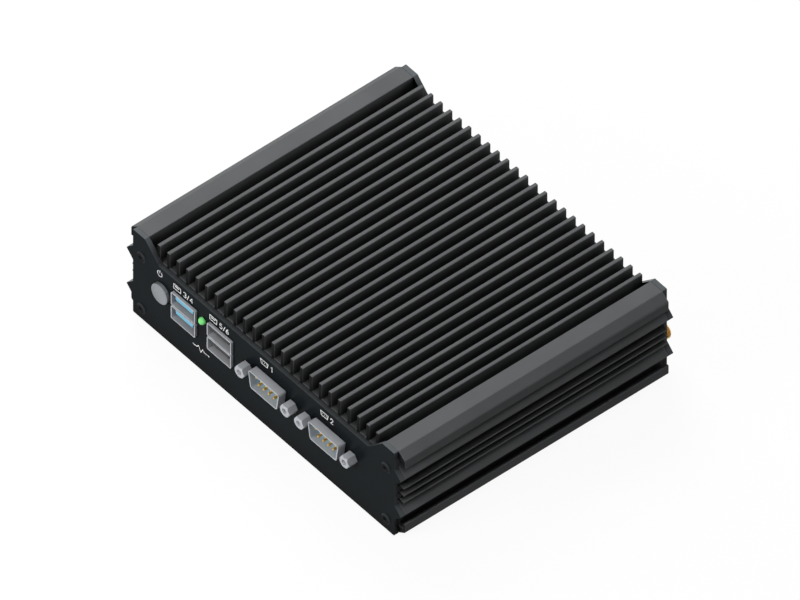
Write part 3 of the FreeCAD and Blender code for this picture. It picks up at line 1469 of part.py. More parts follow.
def make_cards():
    cards = [
        plug_in_card("storage", storage_x, mm.storage_length),
        plug_in_card("radio", radio_x, mm.radio_length),
    ]
    piece("card_posts", group("card_posts", [post for post, screw in cards]))
    piece("card_screws", group("card_screws", [screw for post, screw in cards]))


def make_coin_cell():
    """A coin cell in a round holder."""
    x, y = mm.cell_x, mm.cell_y
    radius = mm.cell_radius + mm.fit
    rim = rod("cell_rim", UPWARD, (x, y, board_top), radius + mm.cell_wall,
              mm.cell_floor + mm.cell_thickness)
    seat = rod("cell_seat", UPWARD, (x, y, board_top + mm.cell_floor), radius, mm.cell_thickness)
    piece("coin_cell_holder", cut("coin_cell_holder", rim, [seat]))
    cell = rod("cell_can", UPWARD, (x, y, board_top + mm.cell_floor), mm.cell_radius,
               mm.cell_thickness)
    piece("coin_cell", group("coin_cell", [cell]))


# ---------------------------------------------------------------- build, check and write

def check(items):
    """Stop if any object has failed or any piece is empty or not valid."""
    for item in doc.Objects:
        if "Invalid" in item.State or "Error" in item.State:
            raise RuntimeError(f"{item.Name} failed: {item.State}")
    for item in items:
        shape = item.Shape
        if shape.isNull() or not shape.isValid() or not shape.Solids:
            raise RuntimeError(f"{item.Label} has no valid shape")


def write(items):
    """Write each piece to a file under its own name."""
    os.makedirs("parts", exist_ok=True)
    for item in items:
        item.Shape.exportStep(f"parts/{item.Label}.step")


def build():
    make_plates()
    make_housing()
    make_cover()
    make_cover_fasteners()
    make_board()
    make_cooling()
    make_button()
    make_status_light()
    make_usb_sockets()
    make_serial_connectors()
    make_rear_connectors()
    make_memory()
    make_cards()
    make_coin_cell()
    doc.recompute()
    check(pieces)
    write(pieces)


build()
print(f"{len(pieces)} pieces written")
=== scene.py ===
import json
import math

import bmesh
import bpy
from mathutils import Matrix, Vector


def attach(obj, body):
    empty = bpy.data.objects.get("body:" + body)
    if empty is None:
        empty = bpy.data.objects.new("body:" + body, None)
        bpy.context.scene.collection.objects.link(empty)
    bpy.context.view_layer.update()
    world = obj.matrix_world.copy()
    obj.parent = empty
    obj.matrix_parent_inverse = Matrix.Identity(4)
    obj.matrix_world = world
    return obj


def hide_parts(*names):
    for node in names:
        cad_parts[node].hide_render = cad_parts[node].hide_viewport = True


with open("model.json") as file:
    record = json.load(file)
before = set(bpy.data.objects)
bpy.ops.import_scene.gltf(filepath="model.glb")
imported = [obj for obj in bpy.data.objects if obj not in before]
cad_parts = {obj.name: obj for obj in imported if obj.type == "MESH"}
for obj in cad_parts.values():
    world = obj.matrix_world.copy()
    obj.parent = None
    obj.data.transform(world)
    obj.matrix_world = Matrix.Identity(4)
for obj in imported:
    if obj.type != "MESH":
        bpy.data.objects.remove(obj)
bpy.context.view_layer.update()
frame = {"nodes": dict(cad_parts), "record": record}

# The looks of a fanless industrial computer: finishes for every piece, the printed marks, the threads,
# the light and the camera. Lengths are metres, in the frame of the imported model.

MM = 0.001
CHASSIS = "chassis"
BUTTON = "power_button"
scene = bpy.context.scene
nodes = frame["nodes"]


def add_node(tree, kind, values=None, **settings):
    """A new shader node with its settings, and plain values on some of its inputs."""
    made = tree.nodes.new(kind)
    for name, value in settings.items():
        setattr(made, name, value)
    for socket, value in (values or {}).items():
        made.inputs[socket].default_value = value
    return made


# ---------------------------------------------------------------- materials

class Finish:
    """A node material being put together around one Principled shader."""

    def __init__(self, name, color, roughness, metallic=0.0, specular=0.5):
        self.material = bpy.data.materials.new(name)
        self.material.use_nodes = True
        self.tree = self.material.node_tree
        self.shader = self.tree.nodes["Principled BSDF"]
        self.color = color
        self.set("Base Color", (*color, 1.0))
        self.set("Roughness", roughness)
        self.set("Metallic", metallic)
        self.set("Specular IOR Level", specular)
        self.heights = []

    def set(self, socket, value):
        self.shader.inputs[socket].default_value = value

    def node(self, kind, values=None, **settings):
        return add_node(self.tree, kind, values, **settings)

    def link(self, start, end):
        self.tree.links.new(start, end)

    def noise(self, scale, stretch=(1, 1, 1), detail=3.0, roughness=0.55):
        """Noise in the object's own space, of so many grains a metre, finer or coarser along each axis."""
        place = self.node("ShaderNodeTexCoord")
        mapping = self.node("ShaderNodeMapping", {"Scale": [scale * share for share in stretch]})
        texture = self.node("ShaderNodeTexNoise", {"Scale": 1.0, "Detail": detail, "Roughness": roughness})
        self.link(place.outputs["Object"], mapping.inputs["Vector"])
        self.link(mapping.outputs["Vector"], texture.inputs["Vector"])
        return texture.outputs["Fac"]

    def ramp(self, source, low, high, start=0.3, end=0.7):
        """Spread a value between start and end over the range from low to high."""
        limits = {"From Min": start, "From Max": end, "To Min": low, "To Max": high}
        made = self.node("ShaderNodeMapRange", limits)
        self.link(source, made.inputs["Value"])
        return made.outputs["Result"]

    def vary_color(self, source, darker, lighter):
        """Let the base colour run between two shades of itself."""
        dark = [value * darker for value in self.color]
        light = [min(1.0, value * lighter) for value in self.color]
        mix = self.node("ShaderNodeMix", data_type="RGBA")
        mix.inputs["A"].default_value = (*dark, 1.0)
        mix.inputs["B"].default_value = (*light, 1.0)
        self.link(self.ramp(source, 0.0, 1.0), mix.inputs["Factor"])
        self.link(mix.outputs["Result"], self.shader.inputs["Base Color"])

    def facing_lengthwise(self):
        """A mask for painted shade: 1 on the faces that look along Y, 0 on the others."""
        place = self.node("ShaderNodeTexCoord")
        parts = self.node("ShaderNodeSeparateXYZ")
        size = self.node("ShaderNodeMath", operation="ABSOLUTE")
        self.link(place.outputs["Normal"], parts.inputs["Vector"])
        self.link(parts.outputs["Y"], size.inputs[0])
        return self.ramp(size.outputs["Value"], 0.0, 1.0, 0.6, 0.9)

    def crevice_shade_mask(self, reach, enclosed=0.3, open_air=0.85):
        """A mask for painted shade: 1 deep in grooves and between fins, 0 on open faces."""
        made = self.node("ShaderNodeAmbientOcclusion", {"Distance": reach}, samples=8)
        return self.ramp(made.outputs["AO"], 1.0, 0.0, enclosed, open_air)

    def soften_and_highlight_edges(self, radius, painted_highlight_gain):
        """Shade the edges as if they were broken to a small radius, and paint them lighter by a gain as a
        painted highlight.
        """
        made = self.node("ShaderNodeBevel", {"Radius": radius}, samples=4)
        self.heights.append(made)
        face = self.node("ShaderNodeNewGeometry")
        match = self.node("ShaderNodeVectorMath", operation="DOT_PRODUCT")
        self.link(made.outputs["Normal"], match.inputs[0])
        self.link(face.outputs["Normal"], match.inputs[1])
        self.scale_color(self.ramp(match.outputs["Value"], 1.0, 0.0, 0.85, 0.99), painted_highlight_gain)

    def scale_color(self, mask, share):
        """Scale the colour to a share of itself, or of each channel, where the mask is 1."""
        mix = self.node("ShaderNodeMix", data_type="RGBA", blend_type="MULTIPLY")
        shares = share if isinstance(share, tuple) else (share, share, share)
        mix.inputs["B"].default_value = (*shares, 1.0)
        self.link(mask, mix.inputs["Factor"])
        source = self.shader.inputs["Base Color"].links[0].from_socket
        self.link(source, mix.inputs["A"])
        self.link(mix.outputs["Result"], self.shader.inputs["Base Color"])

    def vary_roughness(self, source, low, high):
        self.link(self.ramp(source, low, high), self.shader.inputs["Roughness"])

    def bump(self, source, height, strength=1.0):
        """Raise the surface by a height in metres where the source is bright."""
        made = self.node("ShaderNodeBump", {"Strength": strength, "Distance": height})
        self.link(source, made.inputs["Height"])
        if self.heights:
            self.link(self.heights[-1].outputs["Normal"], made.inputs["Normal"])
        self.heights.append(made)
        self.link(made.outputs["Normal"], self.shader.inputs["Normal"])


def anodised():
    """Black anodised extrusion: faint die lines, a fine etched grain, painted shade in the gaps and on the
    ends, painted highlights on the edges.
    """
    finish = Finish("anodised_black", (0.096, 0.0985, 0.101), 0.5, specular=0.02)
    lines = finish.noise(1400, stretch=(1, 0.012, 1), detail=2.0)
    grain = finish.noise(5200, detail=2.0)
    clouds = finish.noise(38, detail=3.0)
    finish.vary_color(clouds, 0.92, 1.08)
    # painted shade: the colour is darkened in the gaps between fins and in other crevices
    finish.scale_color(finish.crevice_shade_mask(0.006), 0.12)
    # painted shade: the ends, which look forward or back, are darkened to a tenth
    finish.scale_color(finish.facing_lengthwise(), 0.10)
    # bevelled edge normals, plus a painted highlight that lightens the edges
    finish.soften_and_highlight_edges(0.0003, 1.55)
    finish.vary_roughness(lines, 0.44, 0.56)
    finish.bump(lines, 0.00001, 0.35)
    finish.bump(grain, 0.000008, 0.35)
    return finish.material


def coated_plate():
    """Semi-gloss black coat on the end plates: a very fine orange peel, painted shade in crevices, and much
    darker painted shade on the flat faces.
    """
    finish = Finish("plate_coat_black", (0.085, 0.093, 0.097), 0.3, specular=0.015)
    peel = finish.noise(2600, detail=2.0)
    clouds = finish.noise(60, detail=2.0)
    finish.vary_color(clouds, 0.9, 1.1)
    # painted shade: the colour is darkened in crevices, such as the strip before the fins
    finish.scale_color(finish.crevice_shade_mask(0.012, 0.5, 0.98), 0.15)
    # painted shade: the front and back faces are darkened to under a tenth of the coat's colour
    finish.scale_color(finish.facing_lengthwise(), (0.065, 0.09, 0.10))
    finish.vary_roughness(peel, 0.2, 0.28)
    finish.bump(peel, 0.000004, 0.4)
    return finish.material


def black_oxide():
    """Blackened screws, with painted shade on their heads where they look forward or back."""
    finish = Finish("screw_black_oxide", (0.035, 0.038, 0.041), 0.4, specular=0.02)
    grain = finish.noise(2500)
    finish.vary_color(grain, 0.9, 1.1)
    # painted shade: the faces of the heads that look forward or back are darkened
    finish.scale_color(finish.facing_lengthwise(), 0.14)
    finish.vary_roughness(grain, 0.3, 0.45)
    finish.bump(grain, 0.000005, 0.3)
    return finish.material


def plated(name, color, low, high, metallic=1.0, scale=900, stretch=(1, 1, 1)):
    """Satin plated metal with a soft drawn grain."""
    finish = Finish(name, color, (low + high) / 2, metallic=metallic)
    grain = finish.noise(scale, stretch=stretch, detail=2.0)
    clouds = finish.noise(scale / 12, detail=2.0)
    finish.vary_color(clouds, 0.93, 1.06)
    finish.vary_roughness(grain, low, high)
    finish.bump(grain, 0.000003, 0.25)
    return finish.material


def moulded(name, color, roughness, scale=1800, specular=0.45):
    """Moulded plastic with a fine spark texture."""
    finish = Finish(name, color, roughness, specular=specular)
    grain = finish.noise(scale, detail=2.0)
    finish.vary_color(finish.noise(scale / 20), 0.92, 1.08)
    finish.vary_roughness(grain, roughness - 0.06, roughness + 0.08)
    finish.bump(grain, 0.000006, 0.3)
    return finish.material


def lens():
    """The status light's tinted body, glowing softly."""
    finish = Finish("lens_green", (0.16, 0.60, 0.17), 0.22, specular=0.5)
    swirl = finish.noise(700)
    finish.vary_color(swirl, 0.9, 1.1)
    finish.set("Emission Color", (0.12, 0.62, 0.14, 1.0))
    finish.set("Emission Strength", 0.18)
    return finish.material


def soft_rubber():
    """Matt rubber feet."""
    finish = Finish("rubber_black", (0.018, 0.018, 0.018), 0.85, specular=0.25)
    grain = finish.noise(2200, detail=4.0)
    finish.vary_roughness(grain, 0.75, 0.95)
    finish.bump(grain, 0.00002, 0.5)
    return finish.material


def solder_mask():
    """Circuit board: green mask over copper, seen as straight tracks under the colour."""
    finish = Finish("board_green", (0.012, 0.11, 0.045), 0.32)
    place = finish.node("ShaderNodeTexCoord")
    tracks = finish.node("ShaderNodeTexBrick", {"Scale": 180, "Mortar Size": 0.03})
    finish.link(place.outputs["Object"], tracks.inputs["Vector"])
    finish.vary_color(tracks.outputs["Fac"], 1.0, 1.7)
    finish.bump(tracks.outputs["Fac"], 0.00003, 0.4)
    return finish.material


def ink():
    """White silk-screen ink."""
    finish = Finish("ink_white", (0.82, 0.83, 0.83), 0.55, specular=0.3)
    grain = finish.noise(3000)
    finish.vary_color(grain, 0.93, 1.0)
    finish.bump(grain, 0.000004, 0.3)
    return finish.material


def make_finishes():
    """One finish for each material slot of the record, by the slot's name."""
    return {
        "black_aluminium": anodised(),
        "black_plate": coated_plate(),
        "black_screws": black_oxide(),
        "button_metal": plated("button_satin", (0.26, 0.275, 0.287), 0.3, 0.42, metallic=0.6, scale=1500),
        "connector_metal": plated("nickel_satin", (0.46, 0.475, 0.505), 0.34, 0.5, metallic=0.42),
        "blue_plastic": moulded("plastic_blue", (0.14, 0.44, 0.62), 0.35),
        "black_plastic": moulded("plastic_black", (0.012, 0.012, 0.013), 0.5),
        "teal_plastic": moulded("plastic_teal", (0.28, 0.55, 0.70), 0.4),
        "gold_contacts": plated("gold", (0.72, 0.44, 0.12), 0.25, 0.38, metallic=0.7),
        "green_lens": lens(),
        "rubber": soft_rubber(),
        "circuit_board": solder_mask(),
        "bare_aluminium": plated("milled_aluminium", (0.72, 0.72, 0.73), 0.25, 0.4, stretch=(1, 0.05, 1)),
        "thermal_pad": moulded("pad_grey", (0.30, 0.34, 0.40), 0.8),
        "white_plastic": moulded("plastic_white", (0.75, 0.74, 0.70), 0.5),
        "white_ink": ink(),
        "chip": moulded("chip_black", (0.02, 0.02, 0.021), 0.45),
        "plated_steel": plated("zinc", (0.55, 0.56, 0.56), 0.25, 0.4),
    }


def dress_nodes(finishes):
    """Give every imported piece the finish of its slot."""
    for row in frame["record"]["subparts"]:
        piece = nodes[row["node"]]
        piece.data.materials.clear()
        piece.data.materials.append(finishes[row["material_slot"]])


def break_edges(name, width):
    """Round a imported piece's sharp edges with a narrow bevel, once its faces are joined."""
    weld = nodes[name].modifiers.new("joined_faces", "WELD")
    weld.merge_threshold = 0.002 * MM
    bevel = nodes[name].modifiers.new("broken_edges", "BEVEL")
    bevel.width = width
    bevel.segments = 2
    bevel.limit_method = "ANGLE"
    bevel.angle_limit = math.radians(28)
    bevel.use_clamp_overlap = False
    bevel.loop_slide = False


# ---------------------------------------------------------------- mesh building

SHARP_ANGLE = math.radians(30)


def span(name):
    """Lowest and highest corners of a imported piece."""
    points = [nodes[name].matrix_world @ vertex.co for vertex in nodes[name].data.vertices]
    return [[pick(point[axis] for point in points) for axis in range(3)] for pick in (min, max)]


def front_middle(name):
    """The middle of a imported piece's front face."""
    low, high = span(name)
    return ((low[0] + high[0]) / 2, low[1], (low[2] + high[2]) / 2)


def depth_of(name):
    """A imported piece's size along Y, in millimetres."""
    low, high = span(name)
    return (high[1] - low[1]) / MM


def quarter(radius, depth, steps):
    """A rounded tip: radius and depth pairs from the axis out to the full radius."""
    angles = [math.pi / 2 * step / steps for step in range(steps + 1)]
    return [(radius * math.sin(angle), depth - depth * math.cos(angle)) for angle in angles]


def turn(shape, profile, origin, closed=False, steps=48):
    """A turned shape about the Y axis through the origin, from radius and depth pairs."""
    rings = []
    for radius, depth in profile:
        count = steps if radius > 0 else 1
        angles = [2 * math.pi * step / count for step in range(count)]
        rings.append([shape.verts.new((origin[0] + radius * math.cos(angle), origin[1] + depth,
                                       origin[2] + radius * math.sin(angle))) for angle in angles])
    pairs = list(zip(rings, rings[1:])) + ([(rings[-1], rings[0])] if closed else [])
    for first, second in pairs:
        for step in range(steps):
            corners = [first[step % len(first)], first[(step + 1) % len(first)],
                       second[(step + 1) % len(second)], second[step % len(second)]]
            shape.faces.new(list(dict.fromkeys(corners)))


def stroke(shape, points, width, front, back, closed=False):
    """A raised line of even width through points given in X and Z."""
    sides = []
    count = len(points)
    for index, point in enumerate(points):
        before = points[index - 1] if index or closed else None
        after = points[(index + 1) % count] if index < count - 1 or closed else None
        ways = [Vector(b).to_2d() - Vector(a).to_2d() for a, b in ((before, point), (point, after))
                if a is not None and b is not None]
        normals = [Vector((-way.y, way.x)).normalized() for way in ways]
        normal = sum(normals, Vector((0, 0))).normalized()
        reach = width / 2 / max(0.5, normal.dot(normals[0]))
        sides.append([Vector(point).to_2d() + normal * reach * side for side in (1, -1)])
    layers = [[[shape.verts.new((corner.x, depth, corner.y)) for corner in pair] for pair in sides]
              for depth in (front, back)]
    for index in range(count if closed else count - 1):
        after = (index + 1) % count
        (left, right), (next_left, next_right) = layers[0][index], layers[0][after]
        (low_left, low_right), (low_next_left, low_next_right) = layers[1][index], layers[1][after]
        shape.faces.new((left, right, next_right, next_left))
        shape.faces.new((low_left, low_next_left, low_next_right, low_right))
        shape.faces.new((left, next_left, low_next_left, low_left))
        shape.faces.new((right, low_right, low_next_right, next_right))
    if not closed:
        for index in (0, count - 1):
            shape.faces.new((*layers[0][index], *reversed(layers[1][index])))


def finish_piece(shape, name, body, slot, stands_for=()):
    """Make a piece of a mesh: smooth but for its sharp edges, riding on a body, in a finish."""
    bmesh.ops.recalc_face_normals(shape, faces=shape.faces)
    mesh = bpy.data.meshes.new(name)
    shape.to_mesh(mesh)
    shape.free()
    mesh.materials.append(finishes[slot])
    mesh.shade_smooth()
    mesh.set_sharp_from_angle(angle=SHARP_ANGLE)
    item = bpy.data.objects.new(name, mesh)
    scene.collection.objects.link(item)
    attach(item, body)
    if stands_for:
        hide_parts(*stands_for)


def scaled(profile):
    """A profile given in millimetres, in metres."""
    return [(radius * MM, depth * MM) for radius, depth in profile]


# ---------------------------------------------------------------- button, light and connectors

# Sizes in millimetres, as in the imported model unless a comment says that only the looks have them.
BUTTON_RADIUS = 4.35
BUTTON_COLLAR = 0.8
LENS_RADIUS = 1.5
LENS_RIM = (0.35, 0.8)          # beyond the lens; looks: its thickness, which is 0.9 when packed
PIN_RADIUS = 0.5
PIN_PITCH = 2.77
PIN_TIP = 0.7                   # looks: length of a pin's rounded tip
JACK_OFFSET = 12.5              # jackscrew from the middle of its connector
JACK_FLATS = 4.8
ANTENNA_RADIUS = 3.175
ANTENNA_SHANK = (2.8, 4.0)      # radius, and length through the nut and the plate
ANTENNA_FLANGE = (3.4, 1.8)     # looks: radius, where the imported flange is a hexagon; and thickness
ANTENNA_TAIL = 2.0
ANTENNA_MOUTH = (2.3, 2.0)      # radius and depth


def make_button():
    """The power button's cap: turned rings inside a raised rim, on the plain barrel and collar."""
    low, high = span("power_button_cap")
    length = depth_of("power_button_cap")
    collar = (high[0] - low[0]) / 2 / MM
    dish, ring_pitch, ring_count, ring_height = 0.2, 0.4, 7, 0.03
    rings = [(ring_pitch * index + offset, dish + height) for index in range(1, ring_count + 1)
             for offset, height in ((0, 0.0), (0.12, ring_height), (0.28, ring_height))]
    rim = [(3.25, dish), (3.55, 0.03), (3.7, 0), (3.95, 0), (4.15, 0.06), (4.3, dish), (BUTTON_RADIUS, 0.45)]
    profile = [(0, dish), *rings, *rim, (BUTTON_RADIUS, length - BUTTON_COLLAR),
               (collar, length - BUTTON_COLLAR), (collar, length), (0, length)]
    shape = bmesh.new()
    turn(shape, scaled(profile), front_middle("power_button_cap"), steps=96)
    finish_piece(shape, "button_cap_turned", BUTTON, "button_metal", ["power_button_cap"])


def make_light():
    """The status light's lens, with a rounded front and the rim that stops it in its holder."""
    length = depth_of("status_led")
    beyond, thickness = LENS_RIM
    rim_radius, rim_front = LENS_RADIUS + beyond, length - thickness
    profile = [*quarter(LENS_RADIUS, LENS_RADIUS, steps=14), (LENS_RADIUS, rim_front),
               (rim_radius, rim_front), (rim_radius, length), (0, length)]
    shape = bmesh.new()
    turn(shape, scaled(profile), front_middle("status_led"))
    finish_piece(shape, "status_lens", CHASSIS, "green_lens", ["status_led"])


def make_pins(side):
    """Contact pins with rounded tips, five above four."""
    name = f"serial_{side}_pins"
    low, high = span(name)
    length = depth_of(name)
    middle_x, front, middle_z = front_middle(name)
    rise = (high[2] - low[2]) / 2 - PIN_RADIUS * MM
    profile = scaled([*quarter(PIN_RADIUS, PIN_TIP, steps=8), (PIN_RADIUS, length), (0, length)])
    shape = bmesh.new()
    for count, height in ((5, middle_z + rise), (4, middle_z - rise)):
        for index in range(count):
            x = middle_x + PIN_PITCH * MM * (index - (count - 1) / 2)
            turn(shape, profile, (x, front, height), steps=24)
    finish_piece(shape, f"{name}_rounded", CHASSIS, "gold_contacts", [name])


def thread(crest, root, start, end, pitch):
    """The zigzag of a thread from a start to an end depth, as radius and depth pairs."""
    turns = int((end - start) / pitch)
    points = []
    for index in range(turns):
        depth = start + index * pitch
        points += [(root, depth), (crest, depth + pitch * 0.45), (crest, depth + pitch * 0.55)]
    return [*points, (root, start + turns * pitch)]


def make_jack_threads():
    """Threads inside the jackscrews' front holes, a ring of ridges in each."""
    bore, start, end = 1.148, 0.35, 3.05
    ridges = thread(crest=1.0, root=1.12, start=start, end=3.2, pitch=0.45)
    profile = scaled([(bore, start), *ridges, (bore, end)])
    low = span("serial_jackscrews")[0]
    height = low[2] + JACK_FLATS / 2 * MM
    shape = bmesh.new()
    for side in ("left", "right"):
        middle = front_middle(f"serial_{side}_shell")[0]
        for way in (-1, 1):
            origin = (middle + way * JACK_OFFSET * MM, low[1], height)
            turn(shape, profile, origin, closed=True, steps=32)
    finish_piece(shape, "jackscrew_threads", CHASSIS, "connector_metal")


def make_antenna_jack(side):
    """A coaxial jack: threaded barrel, white insulator and socket contact, round flange and tail inside."""
    name = f"antenna_jack_{side}"
    back = span(name)[1][1]
    length = depth_of(name)
    middle_x, _, middle_z = front_middle(name)
    origin = (middle_x, back, middle_z)
    barrel = (back - span("antenna_nuts")[1][1]) / MM
    shank, shank_length = ANTENNA_SHANK
    flange, flange_thickness = ANTENNA_FLANGE
    flange_start = barrel + shank_length
    flange_end = flange_start + flange_thickness
    mouth, mouth_depth = ANTENNA_MOUTH
    ridges = thread(crest=ANTENNA_RADIUS, root=2.9, start=0.3, end=barrel - 0.25, pitch=0.56)
    outside = [(2.75, 0), *ridges, (shank, barrel - 0.1), (shank, flange_start), (flange, flange_start),
               (flange, flange_end), (ANTENNA_TAIL, flange_end), (ANTENNA_TAIL, length)]
    # A fine hole runs on from the contact to the tail's end, which makes the profile one closed ring.
    contact = [(0.3, length), (0.3, 4.0), (0.65, 4.0), (0.65, 1.75), (0.8, 1.75), (0.8, mouth_depth)]
    inside = [(mouth, mouth_depth), (mouth, 0.2), (mouth + 0.15, 0)]
    # The jack points backward, so its depths run toward the front of the machine.
    profile = [(radius, -depth) for radius, depth in (*outside, *contact, *inside)]
    shape = bmesh.new()
    turn(shape, scaled(profile), origin, closed=True, steps=64)
    finish_piece(shape, f"{name}_threaded", CHASSIS, "gold_contacts", [name])
    ring = [(0.82, -1.85), (2.28, -1.85), (2.28, -1.98), (0.82, -1.98)]
    shape = bmesh.new()
    turn(shape, scaled(ring), origin, closed=True)
    finish_piece(shape, f"antenna_insulator_{side}", CHASSIS, "white_plastic")


# ---------------------------------------------------------------- printed marks

INK_HEIGHT = 0.02
LINE_WIDTH = 0.34
FIGURE_HEIGHT = 2.3
MARKS_FROM_TOP = 11.0           # the upper row of marks below the plate's top edge
PULSE_FROM_FOOT = 10.1          # the pulse line above the plate's lower edge

# Figures as lines, in shares of their height from their lower left corner.
DIGITS = {
    "1": [(0.08, 0.78), (0.36, 1.0), (0.36, 0.0)],
    "2": [(0.0, 0.76), (0.08, 0.92), (0.24, 1.0), (0.4, 0.98), (0.55, 0.86), (0.58, 0.7), (0.5, 0.54),
          (0.02, 0.0), (0.62, 0.0)],
    "3": [(0.0, 0.86), (0.16, 0.99), (0.42, 0.99), (0.57, 0.86), (0.56, 0.66), (0.36, 0.54),
          (0.58, 0.4), (0.6, 0.16), (0.44, 0.01), (0.14, 0.01), (0.0, 0.14)],
    "4": [(0.47, 0.0), (0.47, 1.0), (0.0, 0.3), (0.64, 0.3)],
    "5": [(0.56, 1.0), (0.1, 1.0), (0.05, 0.56), (0.26, 0.63), (0.46, 0.59), (0.59, 0.42),
          (0.57, 0.16), (0.42, 0.01), (0.14, 0.01), (0.0, 0.12)],
    "6": [(0.5, 0.99), (0.26, 0.84), (0.08, 0.56), (0.0, 0.28), (0.1, 0.07), (0.28, 0.0),
          (0.47, 0.07), (0.57, 0.27), (0.48, 0.47), (0.3, 0.55), (0.1, 0.46)],
    "/": [(0.0, -0.08), (0.42, 1.08)],
}


class Print:
    """White marks on the front plate, each line slightly raised. Places are millimetres in X and Z."""

    def __init__(self):
        self.back = span("front_plate")[0][1]
        self.front = self.back - INK_HEIGHT * MM
        self.shape = bmesh.new()

    def line(self, points, closed=False, width=LINE_WIDTH):
        metres = [(x * MM, z * MM) for x, z in points]
        stroke(self.shape, metres, width * MM, self.front, self.back, closed)

    def arc(self, centre, radius, first, last, steps=24):
        angles = [math.radians(first + (last - first) * step / steps) for step in range(steps + 1)]
        self.line([(centre[0] + radius * math.cos(a), centre[1] + radius * math.sin(a)) for a in angles])

    def digits(self, text, left, middle):
        """Plain figures, one after another from the left."""
        for figure in text:
            self.line([(left + x * FIGURE_HEIGHT, middle + (z - 0.5) * FIGURE_HEIGHT)
                       for x, z in DIGITS[figure]])
            left += FIGURE_HEIGHT * (0.68 if figure in "1/" else 0.86)

    def power(self, x, z):
        """A broken ring with an upright stroke in its gap."""
        self.arc((x, z), 1.25, 125, 415)
        self.line([(x, z + 0.1), (x, z + 1.6)])

    def socket(self, x, z, text):
        """A flat socket with its tongue, and the numbers of its two ports."""
        left, right, rise = x - 5.3, x - 1.5, 1.1
        self.line([(left, z - rise), (right, z - rise), (right, z + rise), (left, z + rise)], closed=True)
        self.line([(x - 4.5, z + 0.3), (x - 2.3, z + 0.3)], width=0.5)
        self.digits(text, x + 0.1, z)

    def pulse(self, x, z):
        """A flat line with one beat in it, for the status light."""
        self.line([(x - 4.6, z), (x - 2.4, z), (x - 1.4, z + 1.2), (x - 0.2, z - 1.3), (x + 0.9, z + 0.9),
                   (x + 1.6, z), (x + 4.6, z)])

    def connector(self, x, z, text):
        """A D-shaped connector and its number."""
        top, foot = z + 1.0, z - 1.0
        self.line([(x - 3.9, top), (x + 0.3, top), (x - 0.2, foot), (x - 3.4, foot)], closed=True)
        for pin in (-2.8, -1.8, -0.8):
            self.line([(x + pin - LINE_WIDTH / 2, z), (x + pin + LINE_WIDTH / 2, z)])
        self.digits(text, x + 1.6, z)

    def done(self, name):
        finish_piece(self.shape, name, CHASSIS, "white_ink")


def make_print():
    """The marks of the front plate, each placed from the piece that it belongs to."""
    low, high = span("front_plate")
    row = high[2] / MM - MARKS_FROM_TOP

    def beside(name, offset):
        return front_middle(name)[0] / MM + offset

    marks = Print()
    marks.power(beside("power_button_cap", -1.1), row)
    marks.socket(beside("usb_left_shell", -0.75), row, "3/4")
    marks.socket(beside("usb_right_shell", -0.7), row, "5/6")
    marks.pulse(beside("status_led", -0.88), low[2] / MM + PULSE_FROM_FOOT)
    marks.connector(beside("serial_left_shell", -1.45), row, "1")
    marks.connector(beside("serial_right_shell", -1.15), row, "2")
    marks.done("front_plate_marks")


def make_pieces():
    break_edges("heatsink_housing", 0.2 * MM)
    make_button()
    make_light()
    for side in ("left", "right"):
        make_pins(side)
        make_antenna_jack(side)
    make_jack_threads()
    make_print()


# ---------------------------------------------------------------- camera, light and stage

# The photograph's view: its direction, the width that it takes in and its middle. An orthographic camera
# looks the same from any distance, so this one only has to stand clear of the object.
AZIMUTH = math.radians(50.0)
ELEVATION = math.radians(46.2)
VIEW_WIDTH = 283.386 * MM
VIEW_CENTRE = Vector((-13.29, 10.02, 4.84)) * MM
CAMERA_DISTANCE = 1.2


def make_camera():
    """An orthographic camera, seeing the front and the right side from above."""
    data = bpy.data.cameras.new("camera")
    data.type = "ORTHO"
    data.ortho_scale = VIEW_WIDTH
    camera = bpy.data.objects.new("camera", data)
    scene.collection.objects.link(camera)
    toward = Vector((math.sin(AZIMUTH) * math.cos(ELEVATION),
                     -math.cos(AZIMUTH) * math.cos(ELEVATION), math.sin(ELEVATION)))
    camera.location = VIEW_CENTRE + toward * CAMERA_DISTANCE
    camera.rotation_euler = (-toward).to_track_quat("-Z", "Y").to_euler()
    scene.camera = camera


def seen_directly(tree):
    """A value that is 1 for rays that see the backdrop itself, in a mirror or through glass."""
    path = add_node(tree, "ShaderNodeLightPath")
    first = add_node(tree, "ShaderNodeMath", operation="MAXIMUM")
    tree.links.new(path.outputs["Is Camera Ray"], first.inputs[0])
    tree.links.new(path.outputs["Is Glossy Ray"], first.inputs[1])
    second = add_node(tree, "ShaderNodeMath", operation="MAXIMUM")
    tree.links.new(first.outputs["Value"], second.inputs[0])
    tree.links.new(path.outputs["Is Transmission Ray"], second.inputs[1])
    return second.outputs["Value"]


def make_world():
    """White where it is seen, and a faint, cool sky as a light."""
    world = bpy.data.worlds.new("studio")
    world.use_nodes = True
    tree = world.node_tree
    tree.nodes.clear()
    sky = add_node(tree, "ShaderNodeBackground", {"Color": (0.92, 0.96, 1.0, 1.0), "Strength": 0.07})
    white = add_node(tree, "ShaderNodeBackground", {"Color": (1.0, 1.0, 1.0, 1.0), "Strength": 1.0})
    mix = add_node(tree, "ShaderNodeMixShader")
    output = add_node(tree, "ShaderNodeOutputWorld")
    tree.links.new(seen_directly(tree), mix.inputs["Fac"])
    tree.links.new(sky.outputs["Background"], mix.inputs[1])
    tree.links.new(white.outputs["Background"], mix.inputs[2])
    tree.links.new(mix.outputs["Shader"], output.inputs["Surface"])
    scene.world = world


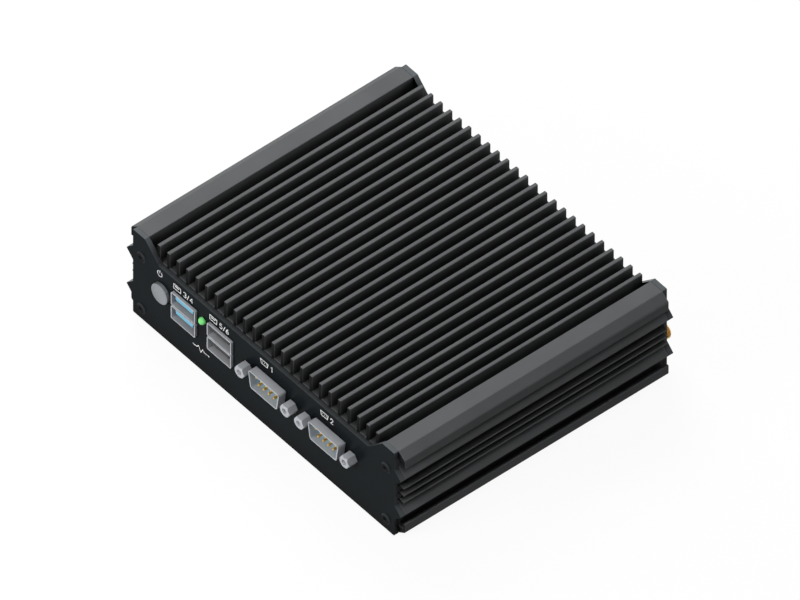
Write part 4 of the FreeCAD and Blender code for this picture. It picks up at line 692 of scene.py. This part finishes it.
def floor_finish():
    """White where it is seen, but for a faint shadow; dark as a reflector; plain white from below."""
    material = bpy.data.materials.new("floor_white")
    material.use_nodes = True
    tree = material.node_tree
    tree.nodes.clear()
    reflected, seen, glow_share = 0.12, 0.8, 0.93
    matt = add_node(tree, "ShaderNodeBsdfDiffuse")
    shades = add_node(tree, "ShaderNodeMix", data_type="RGBA")
    shades.inputs["A"].default_value = (reflected, reflected, reflected, 1.0)
    shades.inputs["B"].default_value = (seen, seen, seen, 1.0)
    glow = add_node(tree, "ShaderNodeEmission", {"Strength": 1.0})
    share = add_node(tree, "ShaderNodeMath", {1: glow_share}, operation="MULTIPLY")
    side = add_node(tree, "ShaderNodeNewGeometry")
    white = add_node(tree, "ShaderNodeMath", operation="MAXIMUM")
    mix = add_node(tree, "ShaderNodeMixShader")
    output = add_node(tree, "ShaderNodeOutputMaterial")
    direct = seen_directly(tree)
    tree.links.new(direct, shades.inputs["Factor"])
    tree.links.new(shades.outputs["Result"], matt.inputs["Color"])
    tree.links.new(direct, share.inputs[0])
    tree.links.new(share.outputs["Value"], white.inputs[0])
    tree.links.new(side.outputs["Backfacing"], white.inputs[1])
    tree.links.new(white.outputs["Value"], mix.inputs["Fac"])
    tree.links.new(matt.outputs["BSDF"], mix.inputs[1])
    tree.links.new(glow.outputs["Emission"], mix.inputs[2])
    tree.links.new(mix.outputs["Shader"], output.inputs["Surface"])
    return material


def make_floor():
    """A wide plain floor on the plane that the feet stand on."""
    half = 3.0
    corners = [(-half, -half, 0), (half, -half, 0), (half, half, 0), (-half, half, 0)]
    mesh = bpy.data.meshes.new("floor")
    mesh.from_pydata(corners, [], [(0, 1, 2, 3)])
    mesh.materials.append(floor_finish())
    floor = bpy.data.objects.new("floor", mesh)
    scene.collection.objects.link(floor)


# Soft boxes by name: place, width and power in watts. Each one looks at the middle of the object.
LAMP_TARGET = (0, 0, 0.02)
LAMPS = {
    "key": ((-0.42, 0.20, 0.50), 0.45, 4.7),
    "overhead": ((0.27, -0.20, 0.56), 0.3, 1.2),
    "front": ((-0.10, -0.75, 0.36), 0.3, 5.5),
    "rear": ((0.10, 0.80, 0.14), 0.3, 4.0),
    "side": ((0.80, -0.10, 0.14), 0.3, 0.25),
}


def make_lamp(name, place, size, power):
    """A square soft box that lights the object and isn't mirrored in it."""
    data = bpy.data.lights.new(name, "AREA")
    data.shape = "SQUARE"
    data.size = size
    data.energy = power
    lamp = bpy.data.objects.new(name, data)
    scene.collection.objects.link(lamp)
    lamp.location = place
    lamp.visible_glossy = False
    lamp.rotation_euler = (Vector(LAMP_TARGET) - Vector(place)).to_track_quat("-Z", "Y").to_euler()


def make_stage():
    make_camera()
    make_world()
    make_floor()
    for name, (place, size, power) in LAMPS.items():
        make_lamp(name, place, size, power)
    scene.view_settings.view_transform = "Standard"


# ---------------------------------------------------------------- making it all

finishes = make_finishes()
dress_nodes(finishes)
make_pieces()
make_stage()
